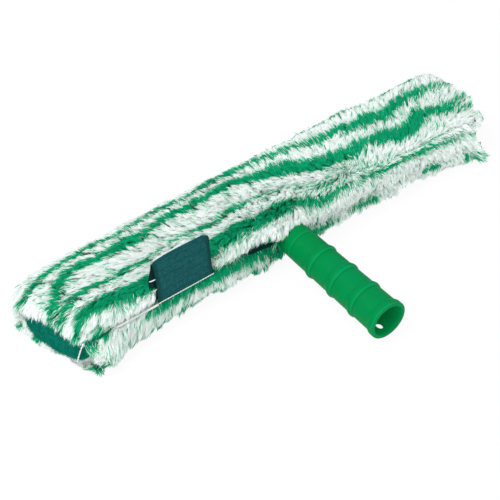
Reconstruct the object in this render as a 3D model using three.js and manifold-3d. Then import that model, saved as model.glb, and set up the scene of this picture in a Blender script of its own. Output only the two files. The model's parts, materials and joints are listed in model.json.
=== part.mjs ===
// Window strip washer: a plush sleeve drawn over a T bar with a socket handle.
// Millimetres. X runs along the bar, the handle points along minus Y, and Z is up.
// Sizes are measured from the middle of the bar; the last lines set the part on its base.

import * as THREE from 'three';
import { mergeVertices } from 'three/addons/utils/BufferGeometryUtils.js';
import Module from 'manifold-3d';

const wasm = await Module();
wasm.setup();

// Fits shared by all pieces
const seatGap = 0.3;
const cutOverrun = 3;
const weldTolerance = 0.0001;

// T bar, two moulded halves that meet in the middle plane
const barLength = 410;
const barDepth = 50;
const barThickness = 18;
const barWall = 2.2;
const barEndRadius = 12;
const ribThickness = 1.8;
const baysPerArm = 4;
const slotLength = 26;
const slotWidth = 15;
const lipTongueWidth = 1;
const lipTongueHeight = 1.2;
const lipTongueInset = 0.6;

// Handle: a tapered tube, measured from its open mouth back towards the bar
const mouthReach = 162;
const tubeRootReach = 26;
const collarRadius = 17.8;
const collarLength = 6.6;
const rimRound = 1.1;
const gripMouthRadius = 16.5;
const gripRootRadius = 14.1;
const boreMouthRadius = 14.2;
const boreEndRadius = 11.8;
const boreDepth = 126;
const boreChamfer = 0.8;
const ridgeHeight = 0.9;
const ridgeLength = 9;
const firstRidgeFromMouth = 31;
const ridgeSpacing = 27;
const ridgeCount = 3;
const rootBandRise = 0.6;
const rootBandLength = 11;
const lockHoleRadius = 3.4;
const lockHoleFromMouth = 10.6;

// Tongue of the handle, held between the halves of the bar
const tongueWidth = 30;
const tongueThickness = 9;
const tongueReach = 9;
const keyWidth = 42;
const keyLength = 4;
const keyFromNose = 9.5;
const keeperLength = 3;
const tongueHoleSpacing = 18;

// Screws
const screwHeadRadius = 3.1;
const screwHeadHeight = 1.6;
const screwShankRadius = 1.5;
const barScrewLength = 12.6;
const handleScrewLength = 11.4;
const crossSlotLength = 3.4;
const crossSlotWidth = 0.8;
const crossSlotDepth = 0.9;
const bossWall = 2.6;
const headLandThickness = 2;

// Plush sleeve
const sleeveEndRoom = 23;
const sleeveShift = -1;
const sleeveFront = 44;
const sleeveBack = 45;
const sleeveHalfHeight = 24.5;
const sleeveCornerRadius = 15;
const sleeveEndRadius = 14;
const endSkewShare = 0.18;

// Scouring pads that close the ends
const padLength = 67;
const padHeight = 25;
const padThickness = 6;
const padCornerRadius = 4;
const padMiddleY = -8.5;

// Closure beside the handle
const handleHoleWidth = 31;
const closureLength = 65;
const flapDrop = 12.5;
const flapTop = 21.5;
const flapUnderGap = 0.8;
const flapThickness = 9.4;
const tapeThickness = 1.2;
const hookTapeHeight = 11;
const loopTapeHeight = 10;
const tapeEndMargin = 2;

// Folded label and stitched edge at the front seam
const labelWidth = 55;
const labelHeight = 41;
const labelThickness = 1;
const labelOpening = 2.2;
const labelLeanShare = 0.13;
const labelFromHandle = 83.5;
const labelFootForward = 39;
const seamHeight = 9.3;
const edgeThickness = 1.4;
const edgeRise = 1.6;
const edgeInset = 1.2;
const edgeFromSleeveEnd = 33;

// How finely curves are drawn
const handleSides = 40;
const smallSides = 16;
const noseSteps = 8;
const softSteps = 6;
const planSteps = 5;
const ridgeSteps = 6;

const greenPlastic = { color: 0x009a4e, roughness: 0.42, metalness: 0 };
const barPlastic = { color: 0x17804a, roughness: 0.5, metalness: 0 };
const screwSteel = { color: 0x9b9da0, roughness: 0.35, metalness: 1 };
const plushPile = { color: 0xbfe3d2, roughness: 0.95, metalness: 0 };
const scourPad = { color: 0x0b7463, roughness: 0.95, metalness: 0 };
const darkTape = { color: 0x0c4a45, roughness: 0.85, metalness: 0 };
const stitchThread = { color: 0xe9ede9, roughness: 0.9, metalness: 0 };

// Lengths that follow from the sizes above
const halfThickness = barThickness / 2;
const noseForward = barDepth / 2;
const halfGap = seatGap / 2;
const pocketHalfHeight = halfThickness + seatGap;
const pocketForward = noseForward + seatGap;
const sleeveLength = barLength + 2 * sleeveEndRoom;
const handleBayHalf = keyWidth / 2 + seatGap + ribThickness + barWall;
const bayLength = (barLength / 2 - barWall - handleBayHalf) / baysPerArm;
const handleHoleHalf = handleHoleWidth / 2;

// Booleans on closed meshes
function solidOf(geometry) {
  const bare = geometry.clone();
  bare.deleteAttribute('normal');
  bare.deleteAttribute('uv');
  const welded = mergeVertices(bare, weldTolerance);
  const vertProperties = Float32Array.from(welded.attributes.position.array);
  const triVerts = Uint32Array.from(welded.index.array);
  return new wasm.Manifold(new wasm.Mesh({ numProp: 3, vertProperties, triVerts }));
}

function geometryOf(solid) {
  const mesh = solid.getMesh();
  const geometry = new THREE.BufferGeometry();
  geometry.setAttribute('position', new THREE.BufferAttribute(mesh.vertProperties, 3));
  geometry.setIndex(new THREE.BufferAttribute(mesh.triVerts, 1));
  geometry.computeVertexNormals();
  return geometry;
}

function union(solids) {
  return solids.reduce((whole, solid) => whole.add(solid));
}

function cut(solid, cutters) {
  return cutters.reduce((rest, cutter) => rest.subtract(cutter), solid);
}

// A box between two corners
function block(low, high) {
  const size = new THREE.Vector3().subVectors(high, low);
  const middle = new THREE.Vector3().addVectors(low, high).multiplyScalar(0.5);
  const geometry = new THREE.BoxGeometry(size.x, size.y, size.z);
  geometry.translate(middle.x, middle.y, middle.z);
  return solidOf(geometry);
}

function corner(x, y, z) {
  return new THREE.Vector3(x, y, z);
}

// A closed outline through corners, each rounded by the same radius
function roundedOutline(corners, radius) {
  const shape = new THREE.Shape();
  corners.forEach((point, index) => {
    const before = corners[(index + corners.length - 1) % corners.length];
    const after = corners[(index + 1) % corners.length];
    const start = point.clone().add(before.clone().sub(point).setLength(radius));
    const end = point.clone().add(after.clone().sub(point).setLength(radius));
    if (index === 0) shape.moveTo(start.x, start.y);
    else shape.lineTo(start.x, start.y);
    shape.quadraticCurveTo(point.x, point.y, end.x, end.y);
  });
  shape.closePath();
  return shape;
}

// A slot outline with round ends, or a stadium section
function roundEnded(length, width) {
  const radius = width / 2;
  const reach = length / 2 - radius;
  const shape = new THREE.Shape();
  shape.absarc(reach, 0, radius, -Math.PI / 2, Math.PI / 2, false);
  shape.absarc(-reach, 0, radius, Math.PI / 2, Math.PI * 1.5, false);
  shape.closePath();
  return shape;
}

function extrude(shape, length, curveSegments) {
  return new THREE.ExtrudeGeometry(shape, { depth: length, bevelEnabled: false, curveSegments });
}

// A section drawn in Y and Z, carried along X
function alongX(shape, fromX, toX, curveSegments) {
  const geometry = extrude(shape, toX - fromX, curveSegments);
  const turn = new THREE.Matrix4();
  turn.makeBasis(corner(0, 1, 0), corner(0, 0, 1), corner(1, 0, 0));
  geometry.applyMatrix4(turn);
  geometry.translate(fromX, 0, 0);
  return solidOf(geometry);
}

// A plan drawn in X and Y, carried up Z
function alongZ(shape, fromZ, toZ, curveSegments) {
  const geometry = extrude(shape, toZ - fromZ, curveSegments);
  geometry.translate(0, 0, fromZ);
  return solidOf(geometry);
}

// A round post that stands along Z
function post(radius, x, y, fromZ, toZ, sides = smallSides) {
  const geometry = new THREE.CylinderGeometry(radius, radius, toZ - fromZ, sides);
  geometry.rotateX(Math.PI / 2);
  geometry.translate(x, y, (fromZ + toZ) / 2);
  return solidOf(geometry);
}

// A round post that lies along Y
function rodAlongY(radius, fromY, toY, sides) {
  const geometry = new THREE.CylinderGeometry(radius, radius, toY - fromY, sides);
  geometry.translate(0, (fromY + toY) / 2, 0);
  return solidOf(geometry);
}

// T bar

// The full bar, or its hollow when inset by the wall
function barBody(inset) {
  const half = barLength / 2 - inset;
  const forward = noseForward - inset;
  const section = roundEnded(barDepth - 2 * inset, barThickness - 2 * inset);
  const plan = roundedOutline(
    [
      new THREE.Vector2(-half, -forward),
      new THREE.Vector2(half, -forward),
      new THREE.Vector2(half, forward),
      new THREE.Vector2(-half, forward),
    ],
    barEndRadius - inset,
  );
  const swept = alongX(section, -half, half, noseSteps);
  return swept.intersect(alongZ(plan, -barThickness, barThickness, planSteps));
}

// Cross ribs divide each arm into wells; the screws stand on the inner ones
function ribPlaces() {
  const places = [];
  for (let bay = 0; bay < baysPerArm; bay += 1) places.push(handleBayHalf + bay * bayLength);
  return places.flatMap((place) => [place, -place]);
}

function barScrewPlaces() {
  return ribPlaces()
    .filter((place) => Math.abs(place) > handleBayHalf + bayLength / 2)
    .map((x) => ({ x, y: 0 }));
}

function handleScrewPlaces() {
  const half = tongueHoleSpacing / 2;
  return [-half, half].map((x) => ({ x, y: 0 }));
}

function wellPlaces() {
  const places = [];
  for (let bay = 0; bay < baysPerArm; bay += 1) {
    places.push(handleBayHalf + (bay + 0.5) * bayLength);
  }
  return places.flatMap((place) => [place, -place]);
}

// Ribs, keepers for the handle's key, and screw bosses, drawn full height
function barInsides() {
  const parts = [];
  const deep = barThickness;
  const halfRib = ribThickness / 2;
  for (const x of ribPlaces()) {
    parts.push(block(corner(x - halfRib, -barDepth, -deep), corner(x + halfRib, barDepth, deep)));
  }
  const keeperBack = -noseForward + keyFromNose - seatGap;
  const keeperFront = keeperBack - keeperLength;
  for (const side of [-1, 1]) {
    const inner = side * (tongueWidth / 2 + seatGap);
    const outer = side * handleBayHalf;
    const low = corner(Math.min(inner, outer), keeperFront, -deep);
    const high = corner(Math.max(inner, outer), keeperBack, deep);
    parts.push(block(low, high));
  }
  for (const { x, y } of barScrewPlaces()) {
    parts.push(post(screwShankRadius + seatGap + bossWall, x, y, -deep, deep));
  }
  return union(parts).intersect(barBody(barWall / 2));
}

// Pads round the two handle screws, each clear of the tongue
function handlePads() {
  const padFoot = tongueThickness / 2 + seatGap;
  const parts = [];
  for (const { x, y } of handleScrewPlaces()) {
    const radius = screwHeadRadius + bossWall;
    parts.push(post(radius, x, y, padFoot, halfThickness - barWall / 2));
    parts.push(post(radius, x, y, -halfThickness + barWall / 2, -padFoot));
  }
  return union(parts);
}

function barShellWhole() {
  const walls = barBody(0).subtract(barBody(barWall));
  const slots = [];
  for (const x of wellPlaces()) {
    const geometry = extrude(roundEnded(slotLength, slotWidth), barThickness * 2, noseSteps);
    geometry.translate(x, 0, -barThickness);
    slots.push(solidOf(geometry));
  }
  const tongueHalf = tongueWidth / 2 + seatGap;
  const tongueHigh = tongueThickness / 2 + seatGap;
  const mouth = block(
    corner(-tongueHalf, -barDepth, -tongueHigh),
    corner(tongueHalf, -noseForward + keyFromNose, tongueHigh),
  );
  const filled = union([cut(walls, slots), barInsides(), handlePads()]);
  return cut(filled, [mouth]);
}

const wholeShell = barShellWhole();

// Holes for a screw that enters from below
function screwCutters({ x, y }, length, headZ) {
  const cutters = [];
  const headTop = headZ + screwHeadHeight + seatGap;
  cutters.push(post(screwHeadRadius + seatGap, x, y, -barThickness, headTop));
  cutters.push(post(screwShankRadius + seatGap, x, y, headZ, headZ + length + seatGap));
  return cutters;
}

const barHeadZ = -halfThickness + headLandThickness;
const handleHeadZ = -halfThickness + seatGap;

function allScrewCutters() {
  return [
    ...barScrewPlaces().flatMap((place) => screwCutters(place, barScrewLength, barHeadZ)),
    ...handleScrewPlaces().flatMap((place) => screwCutters(place, handleScrewLength, handleHeadZ)),
  ];
}

// A narrow lip round the lower half enters a groove round the upper half
function lipRing(insetIn, insetOut, fromZ, toZ) {
  const ring = barBody(insetOut).subtract(barBody(insetIn));
  const big = barLength;
  const slab = block(corner(-big, -barDepth, fromZ), corner(big, barDepth, toZ));
  const handleBay = block(
    corner(-handleBayHalf, -barDepth, -barThickness),
    corner(handleBayHalf, barDepth, barThickness),
  );
  return ring.intersect(slab).subtract(handleBay);
}

function upperShell() {
  const top = block(
    corner(-barLength, -barDepth, halfGap),
    corner(barLength, barDepth, barThickness),
  );
  const groove = lipRing(
    lipTongueInset + lipTongueWidth + seatGap,
    lipTongueInset - seatGap,
    0,
    lipTongueHeight + seatGap,
  );
  return cut(wholeShell.intersect(top), [...allScrewCutters(), groove]);
}

function lowerShell() {
  const bottom = block(
    corner(-barLength, -barDepth, -barThickness),
    corner(barLength, barDepth, -halfGap),
  );
  const tongue = lipRing(
    lipTongueInset + lipTongueWidth,
    lipTongueInset,
    -barWall,
    lipTongueHeight,
  );
  return cut(wholeShell.intersect(bottom).add(tongue), allScrewCutters());
}

// Pan head screw, head down, point up
function screw(length) {
  const points = [
    new THREE.Vector2(0, 0),
    new THREE.Vector2(screwHeadRadius, 0),
    new THREE.Vector2(screwHeadRadius, screwHeadHeight),
    new THREE.Vector2(screwShankRadius, screwHeadHeight),
    new THREE.Vector2(screwShankRadius, length - screwShankRadius),
    new THREE.Vector2(0, length),
  ];
  const turned = new THREE.LatheGeometry(points, smallSides);
  turned.rotateX(Math.PI / 2);
  const halfSlot = crossSlotLength / 2;
  const halfWidth = crossSlotWidth / 2;
  const slots = [
    block(corner(-halfSlot, -halfWidth, -cutOverrun), corner(halfSlot, halfWidth, crossSlotDepth)),
    block(corner(-halfWidth, -halfSlot, -cutOverrun), corner(halfWidth, halfSlot, crossSlotDepth)),
  ];
  return cut(solidOf(turned), slots);
}

// Handle

// Outer radius of the grip at a distance from the mouth, with the three ridges
function gripRadius(fromMouth) {
  const gripLength = mouthReach - tubeRootReach;
  const taper = (gripMouthRadius - gripRootRadius) / gripLength;
  let radius = gripMouthRadius - taper * fromMouth;
  for (let ridge = 0; ridge < ridgeCount; ridge += 1) {
    const away = Math.abs(fromMouth - firstRidgeFromMouth - ridge * ridgeSpacing);
    const share = Math.min(1, away / (ridgeLength / 2));
    radius += (ridgeHeight * (1 + Math.cos(Math.PI * share))) / 2;
  }
  return radius;
}

function handleProfile() {
  const gripLength = mouthReach - tubeRootReach;
  const collarFall = collarLength + rimRound;
  const bandStart = gripLength - rootBandLength;
  const points = [
    [0, boreDepth],
    [boreEndRadius, boreDepth],
    [boreMouthRadius, boreChamfer],
    [boreMouthRadius + boreChamfer, 0],
    [collarRadius - rimRound, 0],
    [collarRadius, rimRound],
    [collarRadius, collarLength - rimRound],
    [gripRadius(collarFall) + rimRound / 2, collarLength],
    [gripRadius(collarFall), collarFall],
  ];
  for (let ridge = 0; ridge < ridgeCount; ridge += 1) {
    const middle = firstRidgeFromMouth + ridge * ridgeSpacing;
    for (let step = 0; step <= ridgeSteps; step += 1) {
      const fromMouth = middle + ridgeLength * (step / ridgeSteps - 0.5);
      points.push([gripRadius(fromMouth), fromMouth]);
    }
  }
  points.push([gripRadius(bandStart), bandStart]);
  points.push([gripRadius(bandStart) + rootBandRise, bandStart + rootBandRise]);
  points.push([gripRadius(gripLength) + rootBandRise, gripLength]);
  points.push([0, gripLength]);
  return points.map(([radius, fromMouth]) => new THREE.Vector2(radius, fromMouth - mouthReach));
}

function handleTube() {
  const tube = solidOf(new THREE.LatheGeometry(handleProfile(), handleSides));
  const halfTongue = tongueWidth / 2;
  const halfTongueThickness = tongueThickness / 2;
  const keyFront = -noseForward + keyFromNose;
  const tongue = block(
    corner(-halfTongue, -tubeRootReach - cutOverrun, -halfTongueThickness),
    corner(halfTongue, tongueReach, halfTongueThickness),
  );
  const tubeRound = rodAlongY(
    gripRootRadius,
    -tubeRootReach - cutOverrun * 2,
    -tubeRootReach,
    handleSides,
  );
  const tongueNeck = tongue.subtract(
    block(
      corner(-tongueWidth, -barDepth, -tongueThickness),
      corner(tongueWidth, -tubeRootReach, tongueThickness),
    ),
  );
  const neckInside = tongue.intersect(tubeRound);
  const key = block(
    corner(-keyWidth / 2, keyFront, -halfTongueThickness),
    corner(keyWidth / 2, keyFront + keyLength, halfTongueThickness),
  );
  const lockY = -mouthReach + lockHoleFromMouth;
  const holes = handleScrewPlaces().map(({ x, y }) =>
    post(screwShankRadius + seatGap, x, y, -barThickness, barThickness),
  );
  holes.push(post(lockHoleRadius, 0, lockY, -2 * collarRadius, 0));
  return cut(union([tube, neckInside, tongueNeck, key]), holes);
}

// Plush sleeve

function endX(side, y) {
  const lean = endSkewShare * (sleeveBack - y);
  return sleeveShift + side * (sleeveLength / 2 - lean);
}

// The whole sleeve as one rounded roll, its ends leaning in towards the handle
function sleeveEnvelope() {
  const section = roundedOutline(
    [
      new THREE.Vector2(-sleeveFront, -sleeveHalfHeight),
      new THREE.Vector2(sleeveBack, -sleeveHalfHeight),
      new THREE.Vector2(sleeveBack, sleeveHalfHeight),
      new THREE.Vector2(-sleeveFront, sleeveHalfHeight),
    ],
    sleeveCornerRadius,
  );
  const plan = roundedOutline(
    [
      new THREE.Vector2(endX(-1, -sleeveFront), -sleeveFront),
      new THREE.Vector2(endX(1, -sleeveFront), -sleeveFront),
      new THREE.Vector2(endX(1, sleeveBack), sleeveBack),
      new THREE.Vector2(endX(-1, sleeveBack), sleeveBack),
    ],
    sleeveEndRadius,
  );
  const swept = alongX(section, -sleeveLength, sleeveLength, softSteps);
  return swept.intersect(alongZ(plan, -sleeveHalfHeight * 2, sleeveHalfHeight * 2, planSteps));
}

const envelope = sleeveEnvelope();

// A scouring pad in the end plane; grown by a gap it cuts its own seat
function scouringPad(side, grow) {
  const half = padLength / 2 + grow;
  const halfHeight = padHeight / 2 + grow;
  const face = roundedOutline(
    [
      new THREE.Vector2(-half, -halfHeight),
      new THREE.Vector2(half, -halfHeight),
      new THREE.Vector2(half, halfHeight),
      new THREE.Vector2(-half, halfHeight),
    ],
    padCornerRadius,
  );
  const outer = grow > 0 ? cutOverrun * 4 : 0;
  const geometry = extrude(face, padThickness + grow + outer, planSteps);
  geometry.translate(0, 0, -padThickness - grow);
  const turn = new THREE.Matrix4();
  turn.makeBasis(corner(0, side, 0), corner(0, 0, 1), corner(side, 0, 0));
  geometry.applyMatrix4(turn);
  geometry.rotateZ(-side * Math.atan(endSkewShare));
  geometry.translate(endX(side, padMiddleY), padMiddleY, 0);
  return solidOf(geometry);
}

const padSeats = [scouringPad(-1, seatGap), scouringPad(1, seatGap)];

// The arch that lets the root of the handle through the front of the sleeve
function handleArch() {
  return rodAlongY(handleHoleHalf, -sleeveFront - cutOverrun, -pocketForward, handleSides);
}

function sleeveRegion(low, high, cutters) {
  return cut(envelope.intersect(block(low, high)), [...padSeats, ...cutters]);
}

const farX = sleeveLength;
const frontY = -sleeveFront - cutOverrun;
const backY = sleeveBack + cutOverrun;
const deepZ = sleeveHalfHeight + cutOverrun;
const closureRight = -handleHoleHalf;
const closureLeft = closureRight - closureLength;
const flapBack = -sleeveFront + flapThickness;
const loopNearY = flapBack + seatGap;
const hookNearY = loopNearY + tapeThickness;
const tapeTop = seamHeight - 2 * seatGap;
const edgeLeft = endX(-1, -sleeveFront) + edgeFromSleeveEnd;
const edgeRight = -labelFromHandle - labelWidth - 2 * seatGap;
const edgeBack = -sleeveFront + edgeInset + edgeThickness;

// Room for the flap, open to the front and a little deeper below, where its back edge swings
function flapRoom() {
  return block(
    corner(closureLeft - seatGap, frontY, seamHeight - flapDrop - flapUnderGap),
    corner(closureRight + seatGap, flapBack + seatGap, flapTop + seatGap),
  );
}

// Where the leaning label presses the pile back
function labelRelief() {
  const back = -labelFootForward + labelOpening / 2 + labelThickness + seatGap;
  const lean = labelLeanShare * labelHeight;
  const shape = new THREE.Shape();
  shape.moveTo(frontY, seamHeight - cutOverrun);
  shape.lineTo(back - labelLeanShare * cutOverrun, seamHeight - cutOverrun);
  shape.lineTo(back + lean, seamHeight + labelHeight);
  shape.lineTo(frontY, seamHeight + labelHeight);
  shape.closePath();
  const right = -labelFromHandle + seatGap;
  return alongX(shape, right - labelWidth - 2 * seatGap, right, planSteps);
}

// The groove of the front seam, in which the stitched edge lies
function edgeRoom() {
  return block(
    corner(edgeLeft - seatGap, frontY, seamHeight - cutOverrun),
    corner(edgeRight + seatGap, edgeBack + seatGap, seamHeight + edgeRise + seatGap),
  );
}

function pileTop() {
  return sleeveRegion(
    corner(-farX, frontY, pocketHalfHeight),
    corner(farX, noseForward, deepZ),
    [handleArch(), flapRoom(), labelRelief(), edgeRoom()],
  );
}

function pileBottom() {
  return sleeveRegion(
    corner(-farX, frontY, -deepZ),
    corner(farX, noseForward, -pocketHalfHeight),
    [handleArch()],
  );
}

function pileBack() {
  return sleeveRegion(corner(-farX, pocketForward, -deepZ), corner(farX, backY, deepZ), []);
}

// Front of the sleeve, in stretches that give way when the bar is drawn out
function frontStretch(fromX, toX, cutters) {
  return sleeveRegion(
    corner(fromX, frontY, -halfThickness),
    corner(toX, -pocketForward, halfThickness),
    cutters,
  );
}

// The lower lip stands behind the flap and the two tapes
function closureLip() {
  const tapeRoom = block(
    corner(closureLeft - seatGap, frontY, seamHeight - flapDrop - flapUnderGap),
    corner(closureRight + seatGap, hookNearY + tapeThickness, deepZ),
  );
  return frontStretch(closureLeft, closureRight, [tapeRoom]);
}

function closureFlap() {
  const low = corner(closureLeft, frontY, seamHeight - flapDrop);
  const high = corner(closureRight, flapBack, flapTop);
  return envelope.intersect(block(low, high));
}

function tape(height, nearY) {
  return block(
    corner(closureLeft + tapeEndMargin, nearY, tapeTop - height),
    corner(closureRight - tapeEndMargin, nearY + tapeThickness - seatGap, tapeTop),
  );
}

// Label: one ribbon folded double, its two ends in the seam
function careLabel() {
  const outerHalf = labelOpening / 2 + labelThickness;
  const innerHalf = labelOpening / 2;
  const lean = labelLeanShare * labelHeight;
  const shape = new THREE.Shape();
  shape.moveTo(-outerHalf, 0);
  shape.lineTo(-innerHalf, 0);
  shape.lineTo(lean - innerHalf, labelHeight - outerHalf);
  shape.absarc(lean, labelHeight - outerHalf, innerHalf, Math.PI, 0, true);
  shape.lineTo(innerHalf, 0);
  shape.lineTo(outerHalf, 0);
  shape.lineTo(lean + outerHalf, labelHeight - outerHalf);
  shape.absarc(lean, labelHeight - outerHalf, outerHalf, 0, Math.PI, false);
  shape.closePath();
  const right = -labelFromHandle;
  const solid = alongX(shape, right - labelWidth, right, planSteps);
  return solid.translate([0, -labelFootForward, seamHeight]);
}

// Stitched edge of the front seam, from the left end to the label
function stitchedEdge() {
  const near = edgeBack - edgeThickness;
  const outline = roundedOutline(
    [
      new THREE.Vector2(near, seamHeight),
      new THREE.Vector2(edgeBack, seamHeight),
      new THREE.Vector2(edgeBack, seamHeight + edgeRise),
      new THREE.Vector2(near, seamHeight + edgeRise),
    ],
    edgeThickness / 3,
  );
  return alongX(outline, edgeLeft, edgeRight, planSteps);
}

// Assembly

const part = new THREE.Group();

function addPiece(name, solid, finish) {
  const mesh = new THREE.Mesh(geometryOf(solid), new THREE.MeshStandardMaterial(finish));
  mesh.name = name;
  part.add(mesh);
  return mesh;
}

function addScrews(label, places, length, headZ) {
  const geometry = geometryOf(screw(length));
  places.forEach(({ x, y }, index) => {
    const mesh = new THREE.Mesh(geometry, new THREE.MeshStandardMaterial(screwSteel));
    mesh.name = `${label}_${index + 1}`;
    mesh.position.set(x, y, headZ);
    part.add(mesh);
  });
}

addPiece('handle_tube', handleTube(), greenPlastic);
addPiece('bar_upper_shell', upperShell(), barPlastic);
addPiece('bar_lower_shell', lowerShell(), barPlastic);
addScrews('bar_screw', barScrewPlaces(), barScrewLength, barHeadZ);
addScrews('handle_screw', handleScrewPlaces(), handleScrewLength, handleHeadZ);

addPiece('pile_top', pileTop(), plushPile);
addPiece('pile_bottom', pileBottom(), plushPile);
addPiece('pile_back', pileBack(), plushPile);
addPiece('front_pile_left', frontStretch(-farX, closureLeft - seatGap, []), plushPile);
addPiece('front_pile_right', frontStretch(handleHoleHalf, farX, []), plushPile);
addPiece('closure_lip', closureLip(), plushPile);
addPiece('closure_flap', closureFlap(), plushPile);
addPiece('loop_tape', tape(loopTapeHeight, loopNearY), darkTape);
addPiece('hook_tape', tape(hookTapeHeight, hookNearY), darkTape);
addPiece('scour_pad_left', scouringPad(-1, 0), scourPad);
addPiece('scour_pad_right', scouringPad(1, 0), scourPad);
addPiece('care_label', careLabel(), darkTape);
addPiece('stitched_edge', stitchedEdge(), stitchThread);

// Set the part on its base, centred over the middle of its floor box
const box = new THREE.Box3().setFromObject(part);
const middle = box.getCenter(new THREE.Vector3());
part.position.set(-middle.x, -middle.y, -box.min.z);
part.updateMatrixWorld(true);

export default part;
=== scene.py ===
"""Window strip washer, seen from the front left: plush sleeve, pads, label and ridged handle."""

import json
import math

import bpy
import numpy as np
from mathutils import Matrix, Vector


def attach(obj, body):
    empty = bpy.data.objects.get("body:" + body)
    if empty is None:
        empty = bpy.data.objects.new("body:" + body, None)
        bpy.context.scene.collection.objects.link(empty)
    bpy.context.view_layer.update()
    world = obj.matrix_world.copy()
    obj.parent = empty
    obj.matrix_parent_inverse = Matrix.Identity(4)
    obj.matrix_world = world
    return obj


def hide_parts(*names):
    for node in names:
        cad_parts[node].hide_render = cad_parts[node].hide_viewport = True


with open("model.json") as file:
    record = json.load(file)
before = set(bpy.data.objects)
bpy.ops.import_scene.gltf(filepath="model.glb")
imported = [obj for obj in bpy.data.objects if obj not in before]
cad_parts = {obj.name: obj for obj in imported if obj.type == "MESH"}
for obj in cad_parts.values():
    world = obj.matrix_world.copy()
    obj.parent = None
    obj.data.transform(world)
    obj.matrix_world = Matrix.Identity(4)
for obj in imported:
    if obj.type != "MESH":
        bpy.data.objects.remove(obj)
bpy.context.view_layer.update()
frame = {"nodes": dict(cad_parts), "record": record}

# Lengths are in millimetres from the middle of the bar, with x along it, y away from the handle and z up
MM = 0.001
BAR = np.array([0.001, 0.0585, 0.0245])  # middle of the bar in the shared frame, in metres
LOWEST = 0.0002  # no strand goes lower than this, in metres

# The sleeve's section, as in the CAD source
FRONT, BACK, HALF_HEIGHT, CORNER = -44.0, 45.0, 24.5, 17.0
HALF_LENGTH, SHIFT, SKEW, END_ROUND = 228.0, -1.0, 0.18, 14.0
HOLLOW_Y, HOLLOW_Z = 25.9, 10.2  # half the hollow that the bar lies in
BED, BED_DENT = 6.4, 0.45  # how deep the matted bed lies under the tips, and its share of their dents
HANDLE_HOLE = 15.5  # radius of the hole that the handle comes out of
CLOSURE = (-80.5, -15.5)  # x of the two ends of the closure
FLAP_TOP_S, FLAP_ROOT_Y = 24, -37.2  # the flap's hinge line, and how far back its strands may be rooted
SEAM_Z = 9.3  # height of the seam at the label
LABEL_LEFT, LABEL_WIDE, LABEL_HIGH = -138.5, 55.0, 41.0
LABEL_FOOT_Y, LABEL_LEAN, LABEL_BACK = -39.0, 0.13, 3.4  # foot, lean, and reach of the rear layer
MOUTH_Y, ROOT_Y = -162.0, -26.0  # the handle's two ends
BEAD_FIRST, BEAD_STEP = 31, 27  # the beads round the handle, from its mouth
TAPE_FOLD, TAPE_FALL = 5.4, 4.6  # how far the folded hook tape reaches over the pile, and how it falls away
PILE_COUNT, FRINGE_COUNT = ((170000, 16000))


def lerp_table(x, table, column=1):
    """The value of a column of a table at x; the table's first column is x."""
    rows = np.array(table, float)
    return np.interp(x, rows[:, 0], rows[:, column])


def smooth(x, low, high):
    """0 at low, 1 at high and soft between them."""
    t = np.clip((np.asarray(x, float) - low) / (high - low), 0, 1)
    return t * t * (3 - 2 * t)


def band(x, rise, top, end, fall):
    """0 up to rise, 1 from top to end and 0 from fall."""
    return smooth(x, rise, top) * smooth(x, fall, end)


def between(x, low, high):
    return (x > low) & (x < high)


def ripple(x, s, seed, length):
    """Soft noise over the cloth, about -1 to 1, with features as long as length."""
    r = np.random.default_rng(seed)
    total = np.zeros(np.shape(x))
    for _ in range(7):
        a, b = r.normal(size=2) * (2 * math.pi / length)
        total = total + np.sin(a * x + b * s + r.uniform(0, 2 * math.pi))
    return total / 3.2


# The cloth: s runs round its section from the middle of the front, upwards

LOW_S = -40  # the pile is counted from here, below its front
STRAIGHT_Z = HALF_HEIGHT - CORNER
STRAIGHT_Y = BACK - FRONT - 2 * CORNER
ARC = math.pi * CORNER / 2
ROUND = 4 * STRAIGHT_Z + 2 * STRAIGHT_Y + 4 * ARC
# straight stretches of the section: length, start and direction. A corner follows each but the last
STRETCHES = [
    (STRAIGHT_Z, (FRONT, 0.0), (0, 1)),
    (STRAIGHT_Y, (FRONT + CORNER, HALF_HEIGHT), (1, 0)),
    (2 * STRAIGHT_Z, (BACK, STRAIGHT_Z), (0, -1)),
    (STRAIGHT_Y, (BACK - CORNER, -HALF_HEIGHT), (-1, 0)),
    (STRAIGHT_Z, (FRONT, -STRAIGHT_Z), (0, 1)),
]


def section(s):
    """(y, z, ny, nz) of the outline at s."""
    s = np.mod(np.asarray(s, float), ROUND)
    out = np.zeros(s.shape + (4,))
    start = 0.0
    for i, (run, (y, z), (dy, dz)) in enumerate(STRETCHES):
        here = (s >= start) & (s <= start + run + 1e-9)
        t = s[here] - start
        out[here] = np.stack([y + dy * t, z + dz * t, -dz + 0 * t, dy + 0 * t], -1)
        start += run
        if i < 4:
            cy, cz = y + dy * run + dz * CORNER, z + dz * run - dy * CORNER
            here = (s > start) & (s < start + ARC)
            a = math.pi * (1 - i / 2) - (s[here] - start) / CORNER
            ny, nz = np.cos(a), np.sin(a)
            out[here] = np.stack([cy + CORNER * ny, cz + CORNER * nz, ny, nz], -1)
            start += ARC
    return out


def from_start(s, start=-ROUND / 2):
    """s, counted once round from start."""
    return np.mod(s - start, ROUND) + start


# s round the left end, then how much shorter the pile is there than the pads' plane
LEFT_CUT = [(-60, 0), (-50, 2.5), (-38, 3.5), (-28, 5), (-15, 7), (-8, 3), (0, 0)]
# and how much the pile lifts there
LEFT_LIFT = [(-52, 0), (-40, 4), (-30, 7), (-20, 6), (-10, 3), (0, 0)]


def end_limit(y):
    """Half the sleeve's length at depth y: the ends lean in towards the handle and are rounded."""
    middle, half = (FRONT + BACK) / 2, (BACK - FRONT) / 2
    over = np.clip((np.abs(y - middle) - (half - END_ROUND)) / END_ROUND, 0, 1)
    return HALF_LENGTH - SKEW * (BACK - y) - END_ROUND * (1 - np.sqrt(1 - 0.9 * over**2))


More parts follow.
